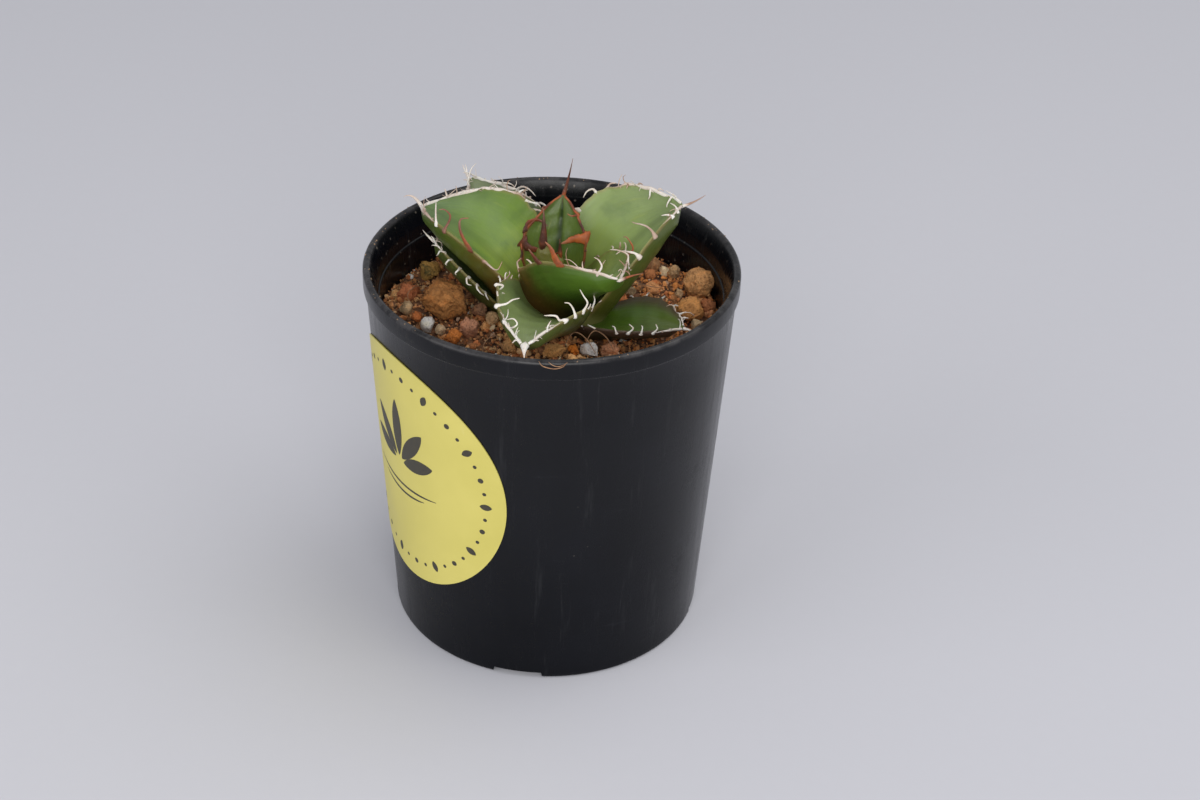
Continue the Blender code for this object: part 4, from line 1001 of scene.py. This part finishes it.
def makeMargin(name, material, rng, node, toothed):
    # Horny border and spine, and on a toothed leaf its teeth and peeling fibres.
    tubes = Tubes()
    for side in (1, -1):
        addHornEdge(tubes, name, side, rng)
        if toothed and leaves[name]["chalk"][1] > 0.5:
            addShreds(tubes, name, side, rng)
    if toothed:
        for side, place, width, chalk, steps in teeth.get(name, ()):
            addTooth(tubes, name, side, place, width, chalk, steps, rng)
        addSmallTeeth(tubes, name, rng)
    addSpine(tubes, name)
    marks = {"chalk": tubes.chalk, "tipness": tubes.tipness}
    addPiece(name + "_margin", fromRim(tubes.verts), tubes.faces, material, [node], marks)


def leafMaterial(name):
    leaf = leaves[name]
    n = Nodes(name + "Skin")
    along, across, face = n.mark("along"), n.mark("across"), n.mark("face")
    place = n.place()
    grid = n.add("CombineXYZ")
    n.join(n.times(across, 7.0), grid.inputs[0])
    n.join(n.times(along, 1.6), grid.inputs[1])
    n.join(face, grid.inputs[2])
    streaks = n.noise(grid.outputs[0], 2.2, 4, 0.55, 0.2)
    blotches = n.noise(place, 120, 3, 0.55, 0.3)
    fine = n.noise(place, 1500, 5, 0.7)
    cells = n.voronoi(place, 2600)
    rim = n.math("ABSOLUTE", across)
    drift = n.times(n.math("SUBTRACT", blotches, 0.5), 0.5)
    streaky = n.times(n.math("SUBTRACT", streaks, 0.5), 0.3)
    reach = n.plus(along, n.plus(drift, streaky))
    upper = n.ramp(reach, ((0.16, leaf["upper"][0]), (0.50, leaf["upper"][1]), (0.86, leaf["upper"][2])))
    light = tuple(min(c * g, 0.6) for c, g in zip(leaf["upper"][0], (1.12, 1.08, 1.0)))
    upper = n.blend(n.fade(streaks, 0.56, 0.78, 0.0, 0.40), upper, light)
    deep = tuple(c * d for c, d in zip(leaf["upper"][2], (0.58, 0.70, 0.62)))
    upper = n.blend(n.fade(blotches, 0.54, 0.74, 0.0, 0.50), upper, deep)
    bloom = tuple(mixed(c, w, 0.30) for c, w in zip(leaf["upper"][1], (0.42, 0.46, 0.34)))
    upper = n.blend(n.times(n.fade(fine, 0.48, 0.72), 0.16), upper, bloom)
    lower = n.ramp(reach, ((0.30, leaf["lower"][0]), (0.85, leaf["lower"][1])))
    rusty = n.times(n.fade(n.plus(along, drift), 0.62, 0.15), leaf["rust"])
    if leaf["rustSide"]:
        rusty = n.times(rusty, n.fade(n.times(across, leaf["rustSide"]), -0.3, 0.6))
    lower = n.blend(rusty, lower, (0.10, 0.042, 0.010))
    # Painted shade: the upper face darker towards its edges.
    shaded = n.times(n.fade(n.plus(rim, drift), 0.50, 1.0), leaf["edgeShade"])
    upper = n.blend(shaded, upper, tuple(c * 0.55 for c in leaf["upper"][1]))
    # Painted shade: a darker stripe down the middle of the upper face, in its fold.
    midline = n.times(n.fade(rim, 0.16, 0.0), leaf["midline"])
    upper = n.blend(midline, upper, (0.016, 0.034, 0.008))
    colour = n.blend(face, lower, upper)
    edged = n.times(n.fade(rim, leaf["edgeFrom"], 0.995), leaf["edgeAmount"])
    colour = n.blend(edged, colour, leaf["edgeTint"])
    colour = n.blend(n.fade(along, 0.14, 0.02, 0.0, 0.6), colour, (0.34, 0.33, 0.12))
    rough = n.fade(fine, 0.3, 0.7, 0.30, 0.46)
    height = n.plus(n.times(streaks, 0.9), n.times(blotches, 1.2))
    normal = n.bump(height, 0.24, 0.00035)
    normal = n.bump(n.plus(fine, n.times(cells, 0.5)), 0.16, 0.00005, normal)
    return n.finish(colour, rough, normal, **{
        "Subsurface Weight": 0.22, "Subsurface Radius": (0.9, 1.0, 0.35), "Subsurface Scale": 0.0011,
        "Specular IOR Level": 0.36})


def hornMaterial():
    n = Nodes("hornyMargin")
    chalk, tipness = n.mark("chalk"), n.mark("tipness")
    place = n.place()
    rough = n.noise(place, 1300, 5, 0.7)
    broad = n.noise(place, 330, 4, 0.6)
    level = n.plus(chalk, n.times(n.math("SUBTRACT", broad, 0.5), 0.35))
    tone = n.ramp(level, (
        (0.0, (0.060, 0.018, 0.012)), (0.09, (0.17, 0.040, 0.016)), (0.20, (0.40, 0.100, 0.022)),
        (0.34, (0.17, 0.055, 0.035)), (0.52, (0.36, 0.225, 0.160)), (0.74, (0.56, 0.455, 0.390)),
        (1.0, (0.74, 0.70, 0.65))))
    tipped = n.blend(n.times(n.fade(tipness, 0.55, 1.0), 0.30), tone, (0.42, 0.26, 0.17))
    colour = n.blend(n.fade(rough, 0.54, 0.72, 0.0, 0.42), tipped, (0.28, 0.17, 0.12))
    normal = n.bump(rough, 0.35, 0.00009)
    return n.finish(colour, n.fade(rough, 0.3, 0.7, 0.42, 0.62), normal, **{
        "Subsurface Weight": 0.08, "Subsurface Radius": (1.0, 0.6, 0.4), "Subsurface Scale": 0.0005,
        "Specular IOR Level": 0.35})


def makeLeaves(horn):
    tRow = 1 - (1 - np.linspace(0, 1, leafSteps)) ** 1.15      # closer rows towards the tip
    for name in leaves:
        rng = random.Random(sum(ord(c) * (i + 3) for i, c in enumerate(name)))
        makeBlade(name, leafMaterial(name), tRow, leafAcross, name)
        makeMargin(name, horn, rng, name, toothed=True)


hornSkin = hornMaterial()
makeLeaves(hornSkin)
print("leaves made")


youngEdge = {"edgeTint": (0.22, 0.05, 0.02), "edgeFrom": 0.7, "edgeAmount": 0.9}
budLeaves = {
    "bud_1": {
        "azimuth": 215, "base": (2.2, -8.6), "length": 13.6, "rise": (84, 97),
        "swing": 0, "roll": 0, "twist": 20, "halfWidth": 4.6, "widestAt": 0.35,
        "baseWidth": 0.85, "cup": (2.0, 1.9), "taper": 0.9, "thick": (1.6, 1.0),
        "spine": ((0.3, -0.1, 3.4), (0.0, 0.4, 7.4)), "spineWidth": 1.15,
        "horn": (0.35, 0.35), "chalk": (0.0, 0.04), "hornWidth": 0.24, "spineChalk": 0.02,
        "upper": ((0.25, 0.32, 0.06), (0.2, 0.24, 0.05), (0.16, 0.14, 0.04)),
        "lower": ((0.14, 0.16, 0.03), (0.15, 0.14, 0.03)),
    },
    "bud_2": {
        "azimuth": 350, "base": (1.5, -8.4), "length": 10.5, "rise": (86, 98),
        "swing": 0, "roll": 0, "twist": 10, "halfWidth": 3.0, "widestAt": 0.35,
        "baseWidth": 0.85, "cup": (2.0, 1.9), "taper": 0.9, "thick": (1.3, 0.9),
        "spine": ((0.0, 0.2, 1.6), (-0.1, 0.0, 3.2)), "spineWidth": 0.7,
        "horn": (0.35, 0.35), "chalk": (0.0, 0.10), "hornWidth": 0.20, "spineChalk": 0.05,
        "upper": ((0.25, 0.32, 0.06), (0.2, 0.26, 0.05), (0.18, 0.18, 0.05)),
        "lower": ((0.15, 0.18, 0.03), (0.16, 0.16, 0.04)),
    },
}


def makeBud(horn):
    # Two rolled young leaves that stand for the CAD bud.
    for name, leaf in budLeaves.items():
        leaves[name] = {**plainLeaf, **youngEdge, **leaf}
    for name, leaf in budLeaves.items():
        rng = random.Random(len(name) + leaf["azimuth"])
        makeBlade(name, leafMaterial(name), np.linspace(0, 1, 60), 32, "bud")
        makeMargin(name, horn, rng, "bud", toothed=False)


makeBud(hornSkin)
print("bud made")


def stemMaterial():
    n = Nodes("stemSkin")
    place = n.place((1, 1, 0.25))
    fibre = n.noise(place, 900, 5, 0.7)
    colour = n.ramp(fibre, ((0.3, (0.16, 0.11, 0.05)), (0.7, (0.40, 0.33, 0.19))))
    return n.finish(colour, n.fade(fibre, 0.3, 0.7, 0.7, 0.9), n.bump(fibre, 0.4, 0.0002))


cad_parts["stem_and_roots"].data.materials.clear()
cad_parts["stem_and_roots"].data.materials.append(stemMaterial())


soil = {
    "level": rimHeight - 12.0 * mm,
    "heaps": (          # azimuth, radius, height and spread, millimetres
        (-88, 25, 3.6, 13), (-150, 25, 2.2, 12), (184, 29, 3.0, 11), (8, 27, 1.4, 10), (80, 20, -1.2, 16)),
    "rings": 90, "turns": 220,
    # count, smallest and largest half size, mesh level, how far it sinks in, highest lift
    "grains": (
        (190, 0.95, 1.75, 3, 0.15, 0.5), (1250, 0.45, 0.85, 2, 0.10, 1.0), (4400, 0.16, 0.38, 1, 0.0, 1.0)),
    "rimDust": 130, "dustTone": (0.42, 0.28, 0.18),
}

# Colours of the named grains. Their places and sizes come from the CAD.
namedGrains = {
    # pebble_tan is paler than its own tan, as painted light on the right side of the pot.
    "pebble_brown": (0.38, 0.165, 0.050), "pebble_tan": (0.66, 0.340, 0.140),
    "pebble_ochre": (0.70, 0.330, 0.115), "grain_moss_yellow": (0.50, 0.290, 0.080),
    "pumice_left": (0.72, 0.69, 0.68), "pumice_pale_left": (0.60, 0.42, 0.24),
    "pumice_front": (0.72, 0.69, 0.68), "pumice_right": (0.62, 0.46, 0.28),
    "grain_orange": (0.70, 0.210, 0.025), "grain_pink": (0.66, 0.310, 0.170),
    "grain_tan_front": (0.66, 0.340, 0.120), "grain_red_left": (0.56, 0.190, 0.080),
    "grain_rust_left": (0.54, 0.170, 0.050), "grain_brown_front": (0.52, 0.250, 0.150),
    "grain_grey_brown": (0.36, 0.190, 0.110), "grain_cream_front": (0.72, 0.460, 0.240),
    "grain_pale_front": (0.60, 0.430, 0.270), "grain_sand_front": (0.60, 0.320, 0.130),
    "grain_amber_front": (0.70, 0.230, 0.050), "grain_sand_right": (0.62, 0.420, 0.240),
    "grain_buff_right": (0.56, 0.370, 0.200), "grain_cream_right": (0.56, 0.420, 0.250),
    "grain_rust_right": (0.50, 0.190, 0.080), "grain_back_right": (0.50, 0.260, 0.120),
    "grain_back": (0.46, 0.230, 0.110), "grain_back_left": (0.50, 0.270, 0.130),
}

# chips knocked off, how deep, size of lumps, roughness
grainLook = {
    "pebble": (12, (0.68, 0.95), 0.13, 0.07),
    "pumice": (11, (0.55, 0.85), 0.08, 0.03),
    "grain": (9, (0.52, 0.90), 0.22, 0.08),
}

palette = np.array((
    (0.68, 0.310, 0.125), (0.78, 0.430, 0.180), (0.54, 0.210, 0.080), (0.72, 0.350, 0.135),
    (0.32, 0.145, 0.065), (0.80, 0.490, 0.240), (0.62, 0.210, 0.075), (0.80, 0.620, 0.390),
    (0.62, 0.400, 0.270), (0.78, 0.740, 0.700),
))
paletteShare = np.array((20, 13, 20, 16, 9, 9, 12, 4, 4, 1.3))


def soilHeight(x, y):
    height = soil["level"]
    for azimuth, radius, rise, spread in soil["heaps"]:
        cx, cy, _ = polar(azimuth, radius * mm, 0)
        away = ((x - cx) ** 2 + (y - cy) ** 2) / (spread * mm) ** 2
        height += rise * mm * math.exp(-away)
    return height


def makeSoilBody(material):
    # Closed filling under the loose grains, with a crumbly top.
    rings, turns = soil["rings"], soil["turns"]
    edge = innerRadius(soil["level"]) - 0.3 * mm
    verts, rows = [], []
    for ring in range(rings + 1):
        radius = edge * ring / rings
        row = []
        for k in range(1 if ring == 0 else turns):
            x, y, _ = polar(360 * k / turns, radius, 0)
            rough = noise.fractal(Vector((x, y, 0)) / (1.6 * mm), 0.8, 2.1, 4)
            row.append(len(verts))
            verts.append((x, y, soilHeight(x, y) - 0.9 * mm + 0.45 * mm * rough))
        rows.append(row)
    for radius, height in ((innerRadius(30 * mm), 30 * mm), (innerRadius(5 * mm), 5 * mm),
                           (pot["floorRadius"] - 1.8 * mm, pot["floorTop"] + 0.3 * mm)):
        row = list(range(len(verts), len(verts) + turns))
        verts += [polar(360 * k / turns, radius - 0.35 * mm, height) for k in range(turns)]
        rows.append(row)
    rows.append([len(verts)])
    verts.append((0, 0, pot["floorTop"] + 0.3 * mm))
    faces = [face[:1] + face[:0:-1] for face in latheFaces(rows, turns)]    # the other way round, to face out
    addPiece("substrate_fill", verts, faces, material, ["substrate"], sharp=60)


def ballMesh(subdivisions):
    bm = bmesh.new()
    bmesh.ops.create_icosphere(bm, subdivisions=subdivisions, radius=1.0)
    bm.verts.ensure_lookup_table()
    verts = np.array([v.co[:] for v in bm.verts])
    faces = np.array([[v.index for v in f.verts] for f in bm.faces])
    bm.free()
    return verts, faces


balls = {level: ballMesh(level) for level in (1, 2, 3, 4, 5)}


def chipped(level, rng, chips, depth, lumps):
    # A ball with flats knocked off it, like a broken grain.
    verts = balls[level][0].copy()
    for _ in range(chips):
        way = unit(rng.normal(size=3))
        cut = rng.uniform(*depth)
        over = np.maximum(verts @ way - cut, 0)
        verts = verts - over[:, None] * way * 0.92
    phase = rng.uniform(0, 50, 3)
    swell = [noise.fractal(Vector(v * 2.2 + phase), 0.9, 2.0, 4) for v in verts]
    return verts * (1 + lumps * np.array(swell))[:, None]


def crumb(level, rng):
    # several small grains stuck together
    verts, faces, count = [], [], 0
    for _ in range(5):
        ball = chipped(level, rng, 6, (0.50, 0.90), 0.28) * rng.uniform(0.38, 0.62)
        verts.append(ball + unit(rng.normal(size=3)) * rng.uniform(0.20, 0.55))
        faces.append(balls[level][1] + count)
        count += len(ball)
    return np.concatenate(verts), np.concatenate(faces)


def turnMatrix(rng):
    q = unit(rng.normal(size=4))
    w, x, y, z = q
    return np.array((
        (1 - 2 * (y * y + z * z), 2 * (x * y - z * w), 2 * (x * z + y * w)),
        (2 * (x * y + z * w), 1 - 2 * (x * x + z * z), 2 * (y * z - x * w)),
        (2 * (x * z - y * w), 2 * (y * z + x * w), 1 - 2 * (x * x + y * y))))


def leafClearance():
    # Points spread over the blades, to keep loose grains out of them.
    points = []
    for name in leaves:
        leaf = leaves[name]
        t, s = np.meshgrid(np.linspace(0, 1, 34), np.linspace(-1, 1, 21), indexing="ij")
        upper, facing, _ = leafSurface(name, t, s)
        keel = leafKeel(leaf, t, s)[..., None]
        for share in (0.0, 0.5, 1.0):
            points.append((upper - facing * keel * share).reshape(-1, 3))
    return fromRim(np.concatenate(points))


def scatterGrains(material):
    # Loose grains of three sizes over the filling.
    rng = np.random.default_rng(11)
    shapes = {level: [(chipped(level, rng, 7, (0.50, 0.90), 0.26), balls[level][1]) for _ in range(10)]
              for level in (1, 2, 3)}
    for level in (2, 3):
        shapes[level] += [crumb(level - 1, rng) for _ in range(10)]
    blades = leafClearance()
    edge = innerRadius(soil["level"])
    chance = paletteShare / paletteShare.sum()
    verts, faces, tones = [], [], []
    count = 0
    for amount, smallest, largest, level, sink, highest in soil["grains"]:
        for _ in range(amount):
            radius = edge * math.sqrt(rng.uniform(0, 1)) * 0.995
            azimuth = rng.uniform(0, 360)
            size = rng.uniform(smallest, largest) * mm
            radius = min(radius, edge - size * 0.9)
            x, y, _ = polar(azimuth, radius, 0)
            lift = rng.uniform(-0.5, highest)
            spot = np.array((x, y, soilHeight(x, y) - 0.55 * mm + lift * size - sink * mm))
            if np.min(np.sum((blades - spot) ** 2, axis=1)) < (0.75 * size) ** 2:
                continue
            shape, shapeFaces = shapes[level][rng.integers(len(shapes[level]))]
            stretch = np.array((1.0, rng.uniform(0.65, 1.0), rng.uniform(0.6, 0.95)))
            verts.append((shape * stretch * size) @ turnMatrix(rng).T + spot)
            faces.append(shapeFaces + count)
            count += len(shape)
            tones.append(np.tile(grainTone(rng, x, level, chance), (len(shape), 1)))
    for _ in range(soil["rimDust"]):
        spot = polar(rng.uniform(0, 360), rimRadius - rng.uniform(0.3, 1.6) * mm, rimHeight - 0.12 * mm)
        size = rng.uniform(0.06, 0.20) * mm
        shape, shapeFaces = shapes[1][rng.integers(10)]
        verts.append(shape * size + spot)
        faces.append(shapeFaces + count)
        count += len(shape)
        tones.append(np.tile(soil["dustTone"], (len(shape), 1)))
    marks = dict(zip(("toneR", "toneG", "toneB"), np.concatenate(tones).T))
    addPiece("substrate_grains", np.concatenate(verts), np.concatenate(faces), material,
             ["substrate"], marks, sharp=32)


def grainTone(rng, x, level, chance):
    # Lighter towards +X as painted light on that side, where pale small grains are also warmer.
    tone = palette[rng.choice(len(palette), p=chance)] * rng.uniform(0.75, 1.2)
    # Painted light: grains on the +X side are made brighter.
    tone = tone * (1.4 if x > 12 * mm else 1.1)
    if x > 8 * mm and tone[2] > 0.2 and level < 3:
        tone = tone * np.array((0.85, 0.60, 0.42))
    return tone


def makeNamedGrain(index, name, colour):
    low, high = (np.array(corner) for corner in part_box(name))
    slot = name.split("_")[0]
    halfSizes = (high - low) / 2
    rng = np.random.default_rng(100 + index)
    level = 5 if halfSizes.max() > 3 * mm else 4
    chips, depth, lumps, roughness = grainLook[slot]
    shape = chipped(level, rng, chips, depth, lumps)
    grit = np.array([noise.fractal(Vector(v * 9 + index), 0.8, 2.0, 3) for v in shape])
    shape = shape * (1 + roughness * grit)[:, None]
    shape = shape - (shape.max(axis=0) + shape.min(axis=0)) / 2
    swell = 1.16 if slot == "pebble" else 1.05
    verts = shape / shape.max(axis=0) * halfSizes * swell + (low + high) / 2
    addPiece(name + "_stone", verts, balls[level][1], grainMaterial(name, colour), [name], sharp=50)


def grainMaterial(name, colour):
    # Stone skin: a fixed colour, or the grain's own tone when colour is None.
    n = Nodes(name + "Skin")
    place = n.place()
    broad = n.noise(place, 420, 5, 0.65, 0.3)
    grit = n.noise(place, 2400, 6, 0.75)
    pits = n.voronoi(place, 1900)
    if colour is None:
        tone = n.add("CombineColor")
        for socket, mark in zip(tone.inputs, ("toneR", "toneG", "toneB")):
            n.join(n.mark(mark), socket)
        base = tone.outputs[0]
    else:
        warm = tuple(min(c * w, 0.8) for c, w in zip(colour, (1.25, 1.05, 0.85)))
        cool = tuple(c * w for c, w in zip(colour, (0.56, 0.48, 0.42)))
        base = n.ramp(broad, ((0.30, cool), (0.50, colour), (0.72, warm)))
    if name == "grain_moss_yellow":
        base = n.blend(n.fade(broad, 0.5, 0.65), base, (0.12, 0.11, 0.04))
    # Painted shade: darker in the pits of the stone.
    dark = n.blend(n.fade(pits, 0.30, 0.05, 0.0, 0.55), base, (0.05, 0.024, 0.012))
    dusty = n.blend(n.fade(grit, 0.52, 0.74, 0.0, 0.32), dark, (0.62, 0.36, 0.17))
    shade = n.fade(grit, 0.25, 0.6, 0.55, 1.0)
    shadeColour = n.add("CombineColor")
    for socket in shadeColour.inputs:
        n.join(shade, socket)
    colour = n.blend(1.0, dusty, shadeColour.outputs[0], "MULTIPLY")
    normal = n.bump(n.math("SUBTRACT", grit, n.times(n.fade(pits, 0.35, 0.05), 0.5)), 0.9, 0.00045)
    return n.finish(colour, n.fade(grit, 0.3, 0.7, 0.78, 0.95), normal, **{"Specular IOR Level": 0.25})


# Dry fibres: knots in millimetres from the centre of the rim, then thickness
fibres = (
    (((-2.2, -37.3, 0.1), (-1.4, -37.9, -0.6), (0.6, -38.1, -1.0), (2.2, -37.9, -0.7), (3.0, -37.5, 0.0)),
     0.13),
    (((-0.4, -37.5, 0.1), (0.6, -38.0, -0.4), (1.8, -38.0, -0.5), (3.2, -37.6, 0.1)), 0.10),
    (((6.4, -17.6, -8.6), (8.2, -15.6, -6.4), (10.6, -16.6, -7.0), (12.4, -18.8, -9.2)), 0.13),
    (((2.6, -18.4, -8.0), (4.4, -16.6, -6.2), (6.6, -17.8, -6.6), (8.8, -20.2, -8.8)), 0.11),
    (((9.6, -20.2, -9.2), (12.6, -21.0, -8.4), (15.2, -20.2, -8.8), (17.0, -21.6, -9.6)), 0.12),
    (((-9.0, -19.6, -8.8), (-10.6, -17.4, -6.8), (-12.6, -18.6, -7.4), (-13.2, -20.8, -8.9)), 0.11),
    (((14.2, 6.6, -10.6), (17.0, 8.4, -9.4), (20.4, 7.6, -9.6), (22.6, 9.4, -10.8)), 0.12),
    (((12.0, 10.0, -10.8), (14.6, 12.4, -9.4), (17.2, 12.0, -9.8), (18.6, 14.2, -11.2)), 0.10),
    (((-26.0, 3.0, -8.2), (-27.2, 0.6, -6.6), (-28.6, -1.8, -6.8), (-28.2, -4.4, -8.0)), 0.10),
)


def makeFibres(material):
    tubes = Tubes(6)
    for knots, thick in fibres:
        path = curvePath(knots, 40)
        u = np.linspace(0, 1, len(path))
        size = thick * (1 - 0.7 * np.abs(2 * u - 1) ** 3)
        tubes.sweep(path, size, size * 0.6, (0, 0, 1), u, u)
    addPiece("dry_fibres", fromRim(tubes.verts), tubes.faces, material, ())


def fibreMaterial():
    n = Nodes("dryFibre")
    streak = n.noise(n.place(), 1600, 4, 0.6)
    tone = n.ramp(streak, ((0.3, (0.16, 0.070, 0.030)), (0.7, (0.42, 0.240, 0.130))))
    return n.finish(tone, n.fade(streak, 0.3, 0.7, 0.6, 0.8), n.bump(streak, 0.3, 0.0001))


def fillMaterial():
    n = Nodes("substrateFill")
    place = n.place()
    crumbs = n.voronoi(place, 900, out="Color")
    # The filling's own brown, kept dark as painted shade in the gaps between the grains.
    tone = n.ramp(crumbs, (
        (0.1, (0.045, 0.020, 0.010)), (0.5, (0.16, 0.072, 0.034)), (0.9, (0.36, 0.175, 0.080))))
    grit = n.noise(place, 1800, 5, 0.7)
    return n.finish(tone, 0.95, n.bump(grit, 0.8, 0.0004))


makeSoilBody(fillMaterial())
scatterGrains(grainMaterial("looseGrains", None))
for grainIndex, (grainName, grainColour) in enumerate(namedGrains.items()):
    makeNamedGrain(grainIndex, grainName, grainColour)
makeFibres(fibreMaterial())
print("substrate made")


studio = {
    "floor": (0.578, 0.578, 0.628),
    "world": (0.95, 0.97, 1.0), "worldStrength": 0.445,
    "aim": (0, 0, 0.04), "lampSize": 0.9,
    # name, place, power, colour
    "lamps": (
        ("front", (0.0, -1.113, 0.49), 10.2, (1.0, 0.99, 0.965)),
        ("key", (0.50, 0.04, 1.13), 4.6, (1.0, 0.985, 0.95)),
        ("left", (-0.964, -0.556, 0.49), 3.9, (1.0, 0.99, 0.98)),
        ("right", (0.964, -0.556, 0.49), 1.46, (0.96, 0.98, 1.0)),
    ),
}


def makeFloor():
    size = 6.0
    bm = bmesh.new()
    bmesh.ops.create_grid(bm, x_segments=8, y_segments=8, size=size / 2)
    mesh = bpy.data.meshes.new("floor")
    bm.to_mesh(mesh)
    bm.free()
    floor = bpy.data.objects.new("floor", mesh)
    bpy.context.scene.collection.objects.link(floor)
    n = Nodes("floorPaper")
    grain = n.noise(n.place(), 300, 3)
    r, g, b = studio["floor"]
    tone = n.ramp(grain, ((0.2, (r * 0.99, g * 0.99, b * 0.99)), (0.8, (r, g, b))))
    floor.data.materials.append(n.finish(tone, 0.9, None, **{"Specular IOR Level": 0.1}))


def makeLamps():
    for name, place, power, colour in studio["lamps"]:
        data = bpy.data.lights.new(name, "AREA")
        data.shape = "RECTANGLE"
        data.size = studio["lampSize"]
        data.size_y = studio["lampSize"]
        data.energy = power
        data.color = colour
        lamp = bpy.data.objects.new(name, data)
        way = Vector(place) - Vector(studio["aim"])
        lamp.matrix_world = Matrix.LocRotScale(Vector(place), way.to_track_quat("Z", "Y"), None)
        bpy.context.scene.collection.objects.link(lamp)


def makeWorld():
    world = bpy.data.worlds.new("studio")
    world.use_nodes = True
    background = world.node_tree.nodes["Background"]
    background.inputs["Color"].default_value = (*studio["world"], 1.0)
    background.inputs["Strength"].default_value = studio["worldStrength"]
    bpy.context.scene.world = world
    bpy.context.scene.view_settings.view_transform = "Standard"
    bpy.context.scene.view_settings.look = "None"


makeFloor()
makeLamps()
makeWorld()
print("stage made")
